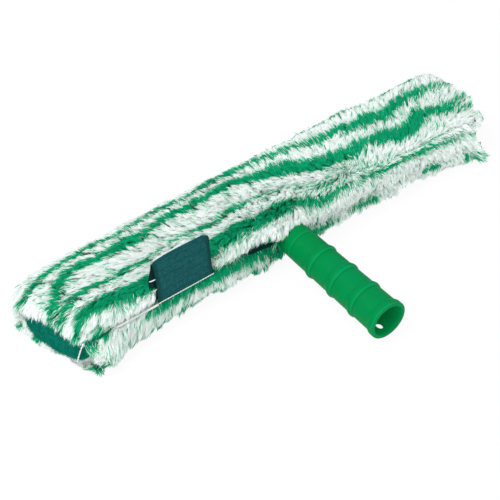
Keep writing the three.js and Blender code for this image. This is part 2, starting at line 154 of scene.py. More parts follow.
def end_reach(x, s, y):
    """Half the length of the pile itself at (s, y), on the side that x is on."""
    return end_limit(y) - np.where(x < SHIFT, lerp_table(from_start(s), LEFT_CUT), 0)


# x, then s of the sewn seam at the front
SEAM = [
    (-230, 11), (-187, 11.5), (-146, 12), (-87, 12.5), (-60, 11), (-40, 8), (-19, 3), (17, 0), (60, -2),
    (230, -3),
]
# x, then s of the valley between the rolls, right of the handle
VALLEY = [(20, 33), (59, 31.5), (93, 31), (125, 26), (157, 24), (188, 19), (230, 17)]
# x, then how far the pile swells past the nominal outline: below the seam, and over the top and back
LOW_SWELL = [
    (-230, 7), (-212, 9), (-200, 12), (-190, 12), (-183, 8), (-174, 4), (-160, 3), (-145, 1.5), (-120, -1),
    (0, -1), (30, -2), (98, -2), (108, 1), (118, 1), (128, -2), (150, 0), (175, 3.5), (190, 6.5),
    (205, 8.5), (230, 9),
]
HIGH_SWELL = [(-230, 2.6), (-60, 3), (0, 2.6), (80, 1.2), (122, 0.4), (141, -1.6), (184, -1.2), (230, -2.4)]

# Stations of x along the sleeve, each with (s, lean): how the pile is combed along the bar
COMB_ALONG = [
    (-215, [(-30, -0.25), (10, -0.35), (35, -0.7), (60, -0.95), (90, -0.9), (130, -0.5)]),
    (-180, [(-30, -0.4), (10, -0.7), (30, -1.0), (60, -1.1), (90, -0.9), (130, -0.5)]),
    (-90, [(-30, -0.3), (10, -0.5), (30, -0.9), (60, -0.95), (90, -0.7), (130, -0.4)]),
    (-30, [(-30, -0.2), (10, -0.35), (30, -0.75), (60, -0.6), (90, -0.5), (130, -0.3)]),
    (20, [(-30, -0.1), (10, -0.2), (30, -0.8), (44, -0.9), (60, -0.5), (90, -0.3), (130, -0.1)]),
    (62, [(-30, -0.1), (10, -0.2), (28, -0.7), (36, -0.7), (60, -0.3), (90, -0.2), (130, -0.1)]),
    (92, [(-30, -0.15), (10, -0.15), (28, 0.6), (36, 0.7), (60, 0.2), (90, 0.1), (130, 0.1)]),
    (110, [(-30, -0.15), (10, -0.15), (26, 0.7), (36, 0.6), (60, 0.3), (90, 0.25), (130, 0.1)]),
    (170, [(-30, -0.1), (10, 0.0), (24, 0.5), (60, 0.5), (90, 0.4), (130, 0.2)]),
    (205, [(-30, 0.3), (10, 0.4), (24, 0.8), (60, 0.8), (90, 0.6), (130, 0.3)]),
]
# The same stations, with the lean round the section
COMB_ROUND = [
    (-215, [(-30, -0.8), (10, -0.8), (30, -0.8), (50, -0.3), (70, 0.1), (95, 0.2), (130, 0.5)]),
    (-180, [(-30, -0.8), (10, -0.7), (25, -0.55), (42, -0.1), (60, 0.3), (95, 0.25), (130, 0.5)]),
    (-90, [(-30, -0.8), (10, -0.75), (28, -0.55), (44, -0.05), (62, 0.3), (95, 0.3), (130, 0.5)]),
    (-30, [(-30, -0.8), (10, -0.85), (28, -0.7), (46, -0.1), (62, 0.45), (95, 0.5), (130, 0.6)]),
    (20, [(-30, -0.8), (10, -0.9), (22, -0.75), (40, -0.2), (60, 0.4), (95, 0.9), (130, 0.6)]),
    (62, [(-30, -0.8), (5, -0.85), (18, -0.65), (36, -0.15), (58, 0.4), (95, 0.9), (130, 0.6)]),
    (92, [(-30, -0.8), (5, -0.85), (21, -0.6), (32, 0.05), (46, 0.6), (95, 0.95), (130, 0.6)]),
    (110, [(-30, -0.8), (5, -0.85), (22, -0.6), (29, 0.1), (38, 0.7), (95, 0.95), (130, 0.6)]),
    (170, [(-30, -0.8), (5, -0.8), (16, -0.5), (24, 0.1), (34, 0.7), (95, 0.95), (130, 0.6)]),
    (205, [(-30, -0.7), (5, -0.7), (14, -0.4), (22, 0.1), (34, 0.5), (95, 0.8), (130, 0.6)]),
]


def station_value(x, s, stations):
    """The value at (x, s) between stations, each of which is a table over s."""
    at = from_start(s, LOW_S)
    places = [place for place, _ in stations]
    values = np.stack([np.interp(at, *zip(*leans)) for _, leans in stations])
    upto = np.clip(np.interp(x, places, np.arange(len(places))), 0, len(places) - 1.001)
    low = upto.astype(int)
    share = upto - low
    take = np.arange(at.size).reshape(at.shape)
    flat = values.reshape(len(places), -1)
    return flat[low, take] * (1 - share) + flat[low + 1, take] * share


def dent(x, s):
    """How far the seam and the valley pull the pile in."""
    at = from_start(s)
    seam_away, valley_away = (at - lerp_table(x, SEAM)) / 3.6, (at - lerp_table(x, VALLEY)) / 5.0
    seam_depth = 5.0 * smooth(x, -14, -22) + smooth(x, 14, 24) + 3.0 * band(x, -62, -50, -22, -16)
    valley_depth = (0.6 * smooth(x, 20, 60) + 3.4 * smooth(x, 80, 125)) * (1 - 0.6 * smooth(x, 185, 215))
    return seam_depth * np.exp(-(seam_away**2)) + valley_depth * np.exp(-(valley_away**2))


def cloth_point(x, s, inset):
    """Points of the cloth and their outward normals. inset is measured from the tips."""
    y, z, ny, nz = np.moveaxis(section(s), -1, 0)
    low = smooth(from_start(s, LOW_S), 18, -2)
    out = lerp_table(x, LOW_SWELL) * low + lerp_table(x, HIGH_SWELL) * (1 - low) - inset
    p = np.stack([x, y + ny * out, z + nz * out], -1)
    # the top of the sleeve falls away towards its ends, on the right only at the back
    back = smooth(y, -5, 38)
    run = np.where(x < SHIFT, 30 + 14 * back, 26)
    drop = np.where(x < SHIFT, 9 + 8 * back, 12 * back)
    near = np.clip((np.abs(x - SHIFT) - (end_limit(y) - run)) / run, 0, 1)
    p[..., 2] -= drop * (1 - np.sqrt(1 - 0.97 * near**2)) * np.clip((z + 6) / 20, 0, 1)
    p[..., 2] += lerp_table(from_start(s), LEFT_LIFT) * smooth(-x, 186, 206)
    return p, np.stack([np.zeros_like(ny), ny, nz], -1)


def press_back(points, s, loose):
    """The leaning label holds the pile above the seam behind it, with each strand loose by its own amount."""
    x, y, z = points.T
    margin = 1.5
    behind = LABEL_FOOT_Y + LABEL_LEAN * (z - SEAM_Z) + LABEL_BACK + loose
    held = between(x, LABEL_LEFT - margin, LABEL_LEFT + LABEL_WIDE + margin)
    held = held & between(s, 8, 90) & (z > SEAM_Z - 1)
    points[:, 1] = np.where(held, np.maximum(y, behind), y)


def on_flap(x, s):
    """Whether a place of the cloth is on the closure flap."""
    return between(x, *CLOSURE) & between(s, lerp_table(x, SEAM), FLAP_TOP_S)


# Stripes of the pile: (x, s, half width) along each green one
STRIPES = [
    [(-236, 84, 3), (-225, 86, 3.6), (-212, 88, 3.4), (-199, 90.5, 3.8), (-187, 92, 2.6), (-168, 93, 3.2),
     (-145, 94.5, 3.4), (-134, 92, 2.1), (-106, 95, 2.4), (-85, 97, 4), (-61, 93.5, 2.4), (-28, 97, 4.4),
     (-8, 96, 4.6), (7, 96, 4.2), (33, 94, 4), (53, 90, 3.6), (65, 84.5, 3.7), (76, 82.5, 3.9),
     (99, 83.5, 4.5), (112, 78, 4.5), (126, 78, 6.3), (151, 75, 4.6), (161, 78.5, 4.6), (173, 80.5, 5.2),
     (182, 79.5, 4.6), (194, 80, 4.1), (203, 78, 3.5), (213, 76, 2.3), (230, 72, 2)],
    [(-236, 38, 2), (-228, 45.5, 3), (-211, 61.5, 4.6), (-200, 71, 5), (-188, 79.5, 4.7), (-179, 81.5, 4.2),
     (-161, 80, 4.8), (-147, 78.5, 4.8), (-131, 79.5, 5.3), (-123, 79, 6.4), (-116, 78.5, 5.3),
     (-107, 80, 3.8), (-95, 83, 4.3), (-75, 83.5, 4.3), (-65, 81.5, 4.9), (-42, 83, 3.8), (-20, 83.5, 3.9),
     (-7, 79.5, 3.9), (10, 75.5, 4.4), (22, 72.5, 6.1), (33, 70, 7), (46, 61.5, 5.5), (58, 58, 5.5),
     (80, 54, 5), (91, 52.5, 5), (101, 55.5, 5), (109, 56, 2.2), (113, 51.5, 3.9), (127, 51, 5.6),
     (137, 48, 6.7), (147, 45, 5.6), (157, 48, 5.6), (164, 53, 6.2), (175, 55, 5.7), (184, 51, 4.3),
     (193, 49, 3.8), (204, 48, 2.8), (230, 50, 1.5)],
    [(-222, 40, 2.2), (-212, 47, 2), (-200, 53.5, 2), (-186, 55, 1.6), (-171, 54.5, 1.4), (-164, 52, 1.2),
     (-144, 54, 1), (-128, 52, 0.9), (-117, 55.5, 0.1), (-92, 58, 0.6), (-76, 56, 0.6), (-60, 52.5, 0.9),
     (-47, 56, 1.5), (-31, 57.5, 0.7), (-14, 57, 0.3), (-4, 56, 0.3), (20, 49.5, 0.2), (38, 34.5, 0.4),
     (76, 32, -0.2), (110, 26.5, -0.3), (142, 24, -0.3), (170, 23.5, -0.3), (200, 20, -2)],
    [(-222, 18, 2), (-214, 26.5, 2.4), (-209, 31.5, 3), (-202, 35, 3.6), (-192, 35.5, 4.1), (-181, 36, 4.5),
     (-173, 34, 5.5), (-164, 32.5, 5.2), (-148, 30.5, 5.2), (-109, 31, 5.1), (-75, 32, 5.3), (-65, 33, 4.6),
     (-43, 34, 5.1), (-22, 33, 4.6), (-1, 34.5, 4.5), (9, 32, 3.4), (20, 25, 2.6), (31, 22.5, 2.5),
     (41, 22, 2), (56, 22.5, 0.8), (66, 22.5, 0.2), (78, 22, 0.3), (93, 20, 1.2), (122, 19, 1.1),
     (132, 18, 1.3), (150, 16, 1.3), (161, 14.5, 1.1), (177, 12, 1.1), (187, 11, 1), (198, 10, 0),
     (214, 8, -1)],
    [(-206, 14, 2.6), (-199, 14.5, 3), (-194, 13.5, 2.4), (-188, 12, 0), (-182, 10, -2.5), (-162, 8, -2.5),
     (-152, 7, 0.6), (-145, 7, 2.2), (-128, 5.5, 3.8), (-108, 6.5, 4.2), (-87, 6.5, 4.2), (-66, 5, 4),
     (-47, 3, 4), (-38, 1, 4), (-26, -3, 4.4), (-14, -5, 4.4), (18, -8, 4.4), (38, -8, 3.2), (49, -9, 1.5),
     (54, -8, -3), (60, -6, -1), (66, -6, 2.4), (84, -8, 2.8), (95, -9, 2), (100, -9, -3), (140, -8, -3),
     (146, -7, 1.6), (160, -9, 2.2), (167, -9, -3), (182, -9, -3), (189, -9, 1.6), (200, -11, 3),
     (215, -12, 3.6)],
    [(192, 43, 0.6), (204, 40, 1.4), (212, 37, 0.4), (230, 31, -1)],
    [(-212, -17, 4), (-196, -16, 4), (-186, -20, 2), (-150, -20, 2), (-100, -19, 2.5), (0, -22, 3),
     (30, -23, 3), (48, -24, -3), (188, -26, -3), (204, -26, 1), (230, -26, 3)],
    [(-230, 112, 3.5), (-120, 115, 4.5), (0, 111, 3.5), (110, 105, 5), (230, 103, 3)],
    [(-230, 132, 4), (-90, 129, 5), (40, 132, 3.5), (150, 126, 5), (230, 124, 4)],
    [(-230, 152, 3), (-60, 155, 2.5), (60, 150, 4.5), (230, 148, 3)],
    [(-230, 173, 5), (-100, 170, 4), (30, 174, 5), (160, 168, 4.5), (230, 167, 3)],
    [(-230, 194, 2.5), (-20, 191, 3.5), (120, 195, 3), (230, 190, 3)],
]


def greenness(x, s):
    """1 inside a green stripe, falling to 0 across its edge."""
    at = from_start(s, -30)
    green = np.zeros(np.shape(x))
    for stripe in STRIPES:
        middle, half = lerp_table(x, stripe, 1), lerp_table(x, stripe, 2)
        inside = between(x, stripe[0][0] - 6, stripe[-1][0] + 6)
        wider = smooth(middle, 88, 70) * (1 - 0.6 * smooth(-x, -30, 60) * smooth(middle, 66, 78))
        half = half * (1 + 0.35 * wider + 0.25 * (middle < 12) * (x < 20)) + 0.9 * wider - 0.6 * (1 - wider)
        edge = np.clip((half - np.abs(at - middle)) / (0.8 + 1.4 * wider) + 0.5, 0, 1)
        green = np.maximum(green, inside * edge)
    return green


def lean(x, s, y):
    """The combed lean of the pile, along the bar and round the section, per unit of height."""
    at = from_start(s, LOW_S)
    round_lean = np.where(at > 150, 0.1, station_value(x, s, COMB_ROUND))
    near_end = smooth(np.abs(x - SHIFT), end_limit(y) - 22, end_limit(y) - 2)
    front_left = (x < 0) & (np.abs(at) < 24)
    along = station_value(x, s, COMB_ALONG) + np.sign(x) * near_end * np.where(front_left, 0.0, 0.25)
    return along + 0.3 * ripple(x, s, 3, 46), round_lean + 0.3 * ripple(x, s, 4, 40)


def tuft_of(x, s, size, seed):
    """The (x, s) of the middle of the tuft nearest to each place, and the tuft's number."""
    cell_x, cell_s = size
    r = np.random.default_rng(seed)
    left = -240
    columns, rows = int(-2 * left / cell_x) + 3, int(ROUND / cell_s)
    cell_s = ROUND / rows
    jitter = r.uniform(0.1, 0.9, (columns, rows, 2))
    i = np.floor((x - left) / cell_x).astype(int)
    j = np.floor(np.mod(s, ROUND) / cell_s).astype(int)
    best = np.full(x.shape, 1e9)
    middle = np.zeros(x.shape + (2,))
    number = np.zeros(x.shape, int)
    for di in (-1, 0, 1):
        for b in (j - 1, j, j + 1):
            a = np.clip(i + di, 0, columns - 1)
            wrapped = np.mod(b, rows)
            tx = (a + jitter[a, wrapped, 0]) * cell_x + left
            ts = (b + jitter[a, wrapped, 1]) * cell_s
            far = (tx - x) ** 2 + (ts - np.mod(s, ROUND)) ** 2
            nearer = far < best
            best = np.where(nearer, far, best)
            middle[nearer] = np.stack([tx, ts], -1)[nearer]
            number = np.where(nearer, a * rows + wrapped, number)
    return middle, number


# Meshes

def attribute(mesh, name, values):
    mesh.attributes.new(name, "FLOAT", "POINT").data.foreach_set("value", values.astype(np.float32))


def place_mesh(name, mesh):
    piece = bpy.data.objects.new(name, mesh)
    bpy.context.scene.collection.objects.link(piece)
    return piece


def fit(piece, material, body, slot, *nodes):
    """Give a piece its material and its body, and hide the CAD nodes that it stands for. The slot is not
    used.
    """
    piece.data.materials.append(material)
    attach(piece, body)
    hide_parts(*nodes)


def strand_mesh(name, levels, wide, along, tone):
    """Ribbons through levels (strands, levels, 3); wide is half the width's vector per level."""
    count, steps = levels.shape[:2]
    per = 2 * (steps - 1) + 1
    points, rise = np.zeros((count, per, 3)), np.zeros((count, per))
    for side, edge in enumerate((levels - wide, levels + wide)):
        points[:, side : per - 1 : 2] = edge[:, :-1]
        rise[:, side : per - 1 : 2] = along[None, :-1]
    points[:, -1], rise[:, -1] = levels[:, -1], along[-1]
    points = points.reshape(-1, 3) * MM + BAR
    points[:, 2] = np.maximum(points[:, 2], LOWEST)
    corners = [2 * k + corner for k in range(steps - 2) for corner in (0, 1, 3, 2)]
    corners = np.array(corners + [per - 3, per - 2, per - 1])
    loops = (corners[None, :] + (np.arange(count) * per)[:, None]).ravel()
    totals = np.tile([4] * (steps - 2) + [3], count)
    starts = np.concatenate([[0], np.cumsum(totals)[:-1]])
    mesh = bpy.data.meshes.new(name)
    for items, label, values, size in (
        (mesh.vertices, "co", points.astype(np.float32), 3),
        (mesh.loops, "vertex_index", loops.astype(np.int32), 1),
        (mesh.polygons, "loop_start", starts.astype(np.int32), 1),
    ):
        items.add(values.size // size)
        items.foreach_set(label, values.ravel())
    mesh.polygons.foreach_set("use_smooth", np.ones(len(totals), bool))
    mesh.update(calc_edges=True)
    attribute(mesh, "along", rise.ravel())
    attribute(mesh, "tone", np.repeat(tone, per))
    mesh.validate()
    return place_mesh(name, mesh)


LEVELS = np.array([0.0, 0.4, 0.75, 1.0])  # of a strand, from root to tip
TAPER = np.array([1.0, 0.92, 0.6, 0.0])  # its width there


def shape_strands(root, middle, tip, facing, width):
    """Curved ribbons from root to tip, pulled towards middle, with their flat side along facing."""
    t = LEVELS[None, :, None]
    levels = (1 - t) ** 2 * root[:, None] + 2 * t * (1 - t) * middle[:, None] + t**2 * tip[:, None]
    across = np.cross(tip - root, facing)
    across /= np.linalg.norm(across, axis=-1, keepdims=True) + 1e-9
    wide = across[:, None] * (width[:, None] * TAPER[None, :] / 2)[..., None]
    return levels, wide


def simple_mesh(name, points, faces):
    mesh = bpy.data.meshes.new(name)
    mesh.from_pydata([tuple(p) for p in points], [], faces)
    mesh.update()
    for polygon in mesh.polygons:
        polygon.use_smooth = True
    return place_mesh(name, mesh)


def join_parts(name, parts):
    """One piece from several (points, faces)."""
    points, faces, start = [], [], 0
    for new_points, new_faces in parts:
        points.append(np.asarray(new_points, float))
        faces += [tuple(start + k for k in face) for face in new_faces]
        start += len(new_points)
    return simple_mesh(name, np.concatenate(points) * MM + BAR, faces)


def grid_faces(rows, columns, wrap):
    faces = []
    for i in range(rows - 1):
        for j in range(columns if wrap else columns - 1):
            k = (j + 1) % columns
            faces.append((i * columns + j, i * columns + k, (i + 1) * columns + k, (i + 1) * columns + j))
    return faces


def tube_faces(rings, sides):
    """Faces of rings of points, closed at both ends."""
    last = (rings - 1) * sides
    return grid_faces(rings, sides, True) + [tuple(reversed(range(sides))), tuple(range(last, last + sides))]


def slab(outer, inner):
    """A sheet with an outer grid of points, an inner one and closed edges: (points, faces)."""
    rows, columns = outer.shape[:2]
    count = rows * columns
    front = grid_faces(rows, columns, False)
    back = [tuple(count + k for k in reversed(f)) for f in front]
    loop = [i * columns for i in range(rows)] + [(rows - 1) * columns + j for j in range(1, columns)]
    loop += [i * columns + columns - 1 for i in range(rows - 2, -1, -1)] + list(range(columns - 2, 0, -1))
    edge = [(a, count + a, count + b, b) for a, b in zip(loop, loop[1:] + loop[:1])]
    return np.concatenate([outer.reshape(-1, 3), inner.reshape(-1, 3)]), front + back + edge


def thread_tube(path, radius, sides):
    """A round thread along a path: (points, faces)."""
    along = np.gradient(path, axis=0)
    along /= np.linalg.norm(along, axis=1, keepdims=True) + 1e-12
    across = np.cross(along, np.array([0.31, 0.17, 0.93]))
    across /= np.linalg.norm(across, axis=1, keepdims=True)
    up = np.cross(across, along)
    turn = np.arange(sides) * 2 * math.pi / sides
    ring = np.cos(turn)[None, :, None] * across[:, None] + np.sin(turn)[None, :, None] * up[:, None]
    return (path[:, None] + radius * ring).reshape(-1, 3), tube_faces(len(path), sides)


def threads(name, paths, radius, sides=8):
    """One piece made of a thread along each path."""
    return join_parts(name, [thread_tube(path, radius, sides) for path in paths])


def soft_box(low, high, edge, steps=3):
    """A box with rounded edges: (points, faces)."""
    low, high = np.array(low, float), np.array(high, float)
    turn = np.linspace(0, math.pi / 2, steps + 1)
    corner = [(edge * (1 - math.cos(a)), edge * (1 - math.sin(a))) for a in turn]
    outline = np.array([
        (high[0] - b if right else low[0] + b, high[1] - a if rear else low[1] + a)
        for right in (True, False) for rear in (True, False) for a, b in corner
    ])
    middle, half = (low[:2] + high[:2]) / 2, (high[:2] - low[:2]) / 2
    angle = np.arctan2(outline[:, 1] - middle[1], outline[:, 0] - middle[0])
    outline = outline[np.argsort(angle)]
    levels = [(low[2] + rise, inset) for rise, inset in corner]
    levels += [(high[2] - rise, inset) for rise, inset in corner[::-1]]
    rings = []
    for z, inset in levels:
        ring = middle + (outline - middle) * ((half - inset) / half)
        rings.append(np.column_stack([ring, np.full(len(ring), z)]))
    return np.concatenate(rings), tube_faces(len(rings), len(outline))


# Pile

STRAND_REACH = 9.5
TUFT, CLUMP, LOCK = (7.5, 4.6), (18, 12), (3.4, 17)  # how strands gather: sizes along x and s
UNDERSIDE, HANGING = (140, ROUND - 34), (-37, 4)  # s of the resting face and of the low front
STRAYS = 0.012  # share of the strands that stand out of the pile
STAND_Z = -HALF_HEIGHT + 0.2  # lowest tip


def grow_pile(count, seed):
    """Strands over the whole cloth: the tips are spread evenly, and each root lies back along the comb."""
    r = np.random.default_rng(seed)
    s = r.uniform(LOW_S, ROUND + LOW_S, count)
    x = SHIFT + r.uniform(-1, 1, count) * (HALF_LENGTH + 1)
    y = section(s)[..., 0]
    limit = end_reach(x, s, y) - 2.0
    tip_limit = limit + np.where((np.abs(s) < 26) & (x < 0), 1.0, 2.5)
    # fewer strands underneath
    keep = (~between(s, *UNDERSIDE) | (r.uniform(size=count) < 0.55)) & (np.abs(x - SHIFT) < tip_limit)
    x, s, y, limit = x[keep], s[keep], y[keep], limit[keep]
    count = len(s)

    # tufts, and clumps of them
    tuft, number = tuft_of(x, s, TUFT, seed + 1)
    tufts = number.max() + 1
    tuft_lean = r.normal(scale=0.15, size=(tufts, 2))
    tuft_long = r.uniform(0.85, 1.15, tufts)
    tuft_high = r.normal(scale=0.42, size=tufts)
    tuft_tone = r.uniform(-1, 1, tufts)
    clump_number = tuft_of(x, s, CLUMP, seed + 2)[1]
    clump_high = r.normal(scale=0.6, size=clump_number.max() + 1)

    along, round_lean = lean(x, s, y)
    own = r.normal(scale=0.13, size=(count, 2))
    reach = STRAND_REACH * tuft_long[number] * r.uniform(0.75, 1.15, count)
    go_x = (along + tuft_lean[number, 0] + own[:, 0]) * reach
    go_s = (round_lean + tuft_lean[number, 1] + own[:, 1]) * reach
    go_s = go_s * (1 + 0.5 * band(s, -40, -34, -4, 6))

    # roots stay on their own side of the seam
    room = s - lerp_table(x, SEAM)
    go_s = np.where(between(room, 0, 40), np.minimum(go_s, room - 0.4), go_s)
    go_s = np.where(between(room, -30, 0), np.maximum(go_s, room + 0.4), go_s)
    root_x = SHIFT + np.clip(x - go_x - SHIFT, -limit, limit)
    root_s = s - go_s

    draw = r.uniform(0.2, 0.62, count)
    end_x = x + (tuft[:, 0] - x) * draw
    tuft_s = tuft[:, 1] - ROUND * np.round((tuft[:, 1] - s) / ROUND)
    end_s = s + (tuft_s - s) * draw
    # the low front hangs in narrow upright locks
    lock, lock_number = tuft_of(x, s, LOCK, seed + 4)
    lock_high = r.normal(scale=0.75, size=lock_number.max() + 1)[lock_number]
    hanging = between(s, *HANGING) & (r.uniform(size=count) < 0.85)
    end_x = np.where(hanging, x + (lock[:, 0] - x) * draw * 1.25, end_x)
    end_s = np.where(hanging, s - 1.5, end_s)
    root, normal = cloth_point(root_x, root_s, BED + BED_DENT * dent(root_x, root_s))
    ragged = 1 + 1.8 * band(s, -36, -26, -4, 8)
    depth = r.gamma(2.0, 0.5, count) + (tuft_high[number] + clump_high[clump_number]) * ragged
    stray = r.uniform(size=count) < STRAYS
    depth = depth - stray * r.uniform(1.0, 3.2, count)
    lock_depth = 0.7 * depth + lock_high * (0.7 + 1.5 * smooth(s, -12, -26))
    depth = np.where(hanging, lock_depth, depth)
    # under the folded hook tape the pile is pressed flat
    pressed = between(room, -0.5, 7.5 * band(x, -52, -44, -23, -17))
    flat = 4.5 + TAPE_FALL * (np.clip(room, 0, TAPE_FOLD) / TAPE_FOLD) ** 0.8
    tip_inset = np.where(pressed, flat + r.uniform(0, 1, count), depth + dent(end_x, end_s))
    tip, tip_normal = cloth_point(end_x, end_s, tip_inset)
    past = np.maximum(np.abs(end_x - SHIFT) - limit, 0)
    tip[:, 2] -= 0.5 * past * (tip_normal[:, 2] > -0.5)
    middle_x, middle_s = root_x + 0.3 * (end_x - root_x), root_s + 0.3 * (end_s - root_s)
    middle = cloth_point(middle_x, middle_s, np.where(pressed, flat + 0.3, 1.4 + dent(root_x, root_s)))[0]
    loose = r.gamma(1.6, 0.8, count)
    for points, share in ((root, 1.3), (middle, 0.5), (tip, 1.0)):
        press_back(points, root_s, share * loose)
    # the flap's roots stay in front of its hinge line, so that it opens clear of the hook tape
    root[:, 1] = np.where(on_flap(x, s), np.minimum(root[:, 1], FLAP_ROOT_Y), root[:, 1])
    tip[:, 2] = np.maximum(tip[:, 2], STAND_Z)

    # each tuft is rounded like a lock
    facing = tip_normal + r.normal(scale=0.4, size=normal.shape) * np.where(hanging, 0.6, 1.0)[:, None]
    round_way = np.stack([np.zeros(count), tip_normal[:, 2], -tip_normal[:, 1]], -1)
    facing[:, 0] += 0.3 * (x - tuft[:, 0]) / 4.5
    facing += (0.3 * (s - tuft_s) / 3.2)[:, None] * round_way

    # the dye is taken some way down the strand, so that the stripes' edges are ragged
    back = r.normal(2.2, 2.2, count) * (0.45 + 0.55 * smooth(s, 92, 70))
    green = greenness(x - along * back, s - round_lean * back + r.normal(scale=0.6, size=count))
    fleck = 0.3 * smooth(ripple(x, s, 8, 16), 0.35, 1.5) * smooth(np.abs(s - 60), 60, 20)
    streak = 0.035 * band(s, -36, -28, 0, 10)
    # right of the handle the dyes mingle, and at the right end the stripes fade
    mingled = 0.15 * band(x, 5, 35, 90, 125) * band(s, 12, 20, 40, 50)
    mingled = mingled + 0.06 * smooth(x, 110, 150) * band(s, 30, 40, 80, 90)
    green = np.maximum(green, fleck + streak + mingled + 0.03)
    green = green * (1 - 0.3 * smooth(x, 188, 214) * band(s, 10, 25, 90, 110))
    keep = (np.abs(root_s) > 30) | (root_x**2 + root_s**2 > HANDLE_HOLE**2)
    strands = {
        "x": x, "s": s, "root": root, "middle": middle, "tip": tip, "facing": facing,
        "width": r.uniform(0.8, 1.3, count),
        "tone": np.clip(0.5 + 0.25 * tuft_tone[number] + r.normal(scale=0.12, size=count), 0, 1),
        "green": r.uniform(size=count) < green,
    }
    return {key: value[keep] for key, value in strands.items()}


# s round the end rims, then how far the pile stands out past them, on the left and on the right
FRINGE_OUT = [
    (-60, 3, 5), (-50, 1, 6), (-35, 1, 10), (-22, 4, 13), (-8, 6, 10), (2, 4, 5), (12, 4, 0.3),
    (22, 5, 0.6), (35, 4.5, 3.5), (50, 4.5, 6.5), (65, 5, 6), (80, 8, 5), (95, 10, 5), (108, 8, 4),
    (120, 5, 4), (186, 3, 4),
]


def grow_fringe(count, seed):
    """The pile of the two end rims, which stands out round the pads and hangs over their upper edge."""
    r = np.random.default_rng(seed)
    s = r.uniform(-60, ROUND - 60, count)
    side = np.where(r.uniform(size=count) < 0.5, -1, 1)
    inset = r.uniform(BED - 4, BED + 2.5, count)
    y, _, _, nz = np.moveaxis(section(s), -1, 0)
    x = SHIFT + side * (end_reach(side * 100, s, y) - r.uniform(1.5, 5, count))
    root, normal = cloth_point(x, s, inset)
    top = np.clip(nz, 0, 1)
    number = tuft_of(x + side * 6, s, (7, 6), seed + 1)[1]
    tuft_way = r.normal(scale=0.35, size=(number.max() + 1, 2))
    out = np.where(side < 0, lerp_table(s, FRINGE_OUT, 1), lerp_table(s, FRINGE_OUT, 2))
    out = out * r.uniform(0.5, 1.15, count)
    splay = r.uniform(0.1, 0.8, count) * inset * (1 - 0.7 * top)
    spin = r.normal(scale=1.4, size=count) + tuft_way[number, 0] * out
    flare = np.where(side > 0, 4.5 * band(s, 26, 38, 55, 75), 0)
    tip = cloth_point(x + side * out, s + spin, inset - splay - flare * r.uniform(0.3, 1.6, count))[0]
    tip[:, 2] -= top * r.uniform(2.0, 6.5, count) * np.where(side > 0, 0.6 * smooth(s, 60, 100), 1.0)

    def move(which, points, axis, to):
        points[:, axis] = np.where(which, to, points[:, axis])

    # low on the right the pile falls forwards and down
    low_right = (side > 0) & between(s, -34, 4)
    move(low_right, tip, 1, tip[:, 1] - r.uniform(1.0, 7.5, count))
    move(low_right, tip, 2, tip[:, 2] - r.uniform(1.0, 6.0, count))
    # above that it closes over the front corner of the pad
    over = (side > 0) & between(s, -6, 36) & (r.uniform(size=count) < 0.8)
    move(over, root, 1, -40.5 + 1.2 * r.normal(size=count))
    move(over, tip, 0, x + r.uniform(-3.0, 1.5, count))
    move(over, tip, 1, -42.5 + r.uniform(-3.5, 2.0, count) + 8 * smooth(s, 22, 36))
    # beside the pad's front edge on the left it sweeps forwards from the pad
    swept = (side < 0) & (np.abs(s + 2) < 17) & (r.uniform(size=count) < 0.65)
    move(swept, root, 0, root[:, 0] - 5.5)
    move(swept, tip, 0, root[:, 0] + r.uniform(-2.5, 5, count))
    move(swept, tip, 1, FRONT - r.uniform(0, 8.5, count))
    move(swept, tip, 2, tip[:, 2] - r.uniform(0.5, 7, count))
    tip[:, 2] = np.maximum(tip[:, 2], STAND_Z)
    outwards = np.stack([side * 1.5, 0 * side, 0 * side], -1)
    middle = root + (tip - root) * 0.4 + normal * 1.2 + outwards * top[:, None]
    facing = normal + r.normal(scale=0.5, size=normal.shape)
    green = greenness(x + side * 3, s + r.normal(scale=0.8, size=count))
    return {
        "x": x, "s": s, "root": root, "middle": middle, "tip": tip, "facing": facing,
        "width": r.uniform(0.7, 1.15, count),
        "tone": np.clip(r.normal(0.5, 0.25, count), 0, 1),
        "green": r.uniform(size=count) < green * 0.75,
    }


# Materials

def srgb(*parts):
    """A colour from its red, green and blue, each 0 to 255."""
    shares = [v / 255 for v in parts]
    return (*(v / 12.92 if v <= 0.04045 else ((v + 0.055) / 1.055) ** 2.4 for v in shares), 1)


def feed(tree, inputs, values):
    """Set each input to its value, or link it to an output or to a node's main output."""
    for label, value in values.items():
        if isinstance(value, bpy.types.Node):
            value = next(out for out in value.outputs if out.enabled)
        if isinstance(value, bpy.types.NodeSocket):
            tree.links.new(value, inputs[label])
        else:
            inputs[label].default_value = value


def put(tree, kind, values=None, **settings):
    """Add a node with its settings, and feed its inputs."""
    node = tree.nodes.new("ShaderNode" + kind)
    for key, value in settings.items():
        setattr(node, key, value)
    feed(tree, node.inputs, values or {})
    return node


def blend(tree, share, first, second):
    return put(tree, "Mix", {"Factor": share, "A": first, "B": second}, data_type="RGBA")


def calc(tree, operation, *values):
    return put(tree, "Math", dict(enumerate(values)), operation=operation)


def spread(tree, value, low, high, start=0.0, end=1.0, way="LINEAR"):
    """From start to end as value goes from low to high."""
    values = {"Value": value, "From Min": low, "From Max": high, "To Min": start, "To Max": end}
    return put(tree, "MapRange", values, interpolation_type=way)


def bump(tree, height, strength, distance):
    return put(tree, "Bump", {"Height": height, "Strength": strength, "Distance": distance})


def read_attribute(tree, name):
    return put(tree, "Attribute", attribute_name=name).outputs["Fac"]


def own_place(tree):
    """The place on the piece, which moves with it."""
    return put(tree, "TexCoord").outputs["Object"]


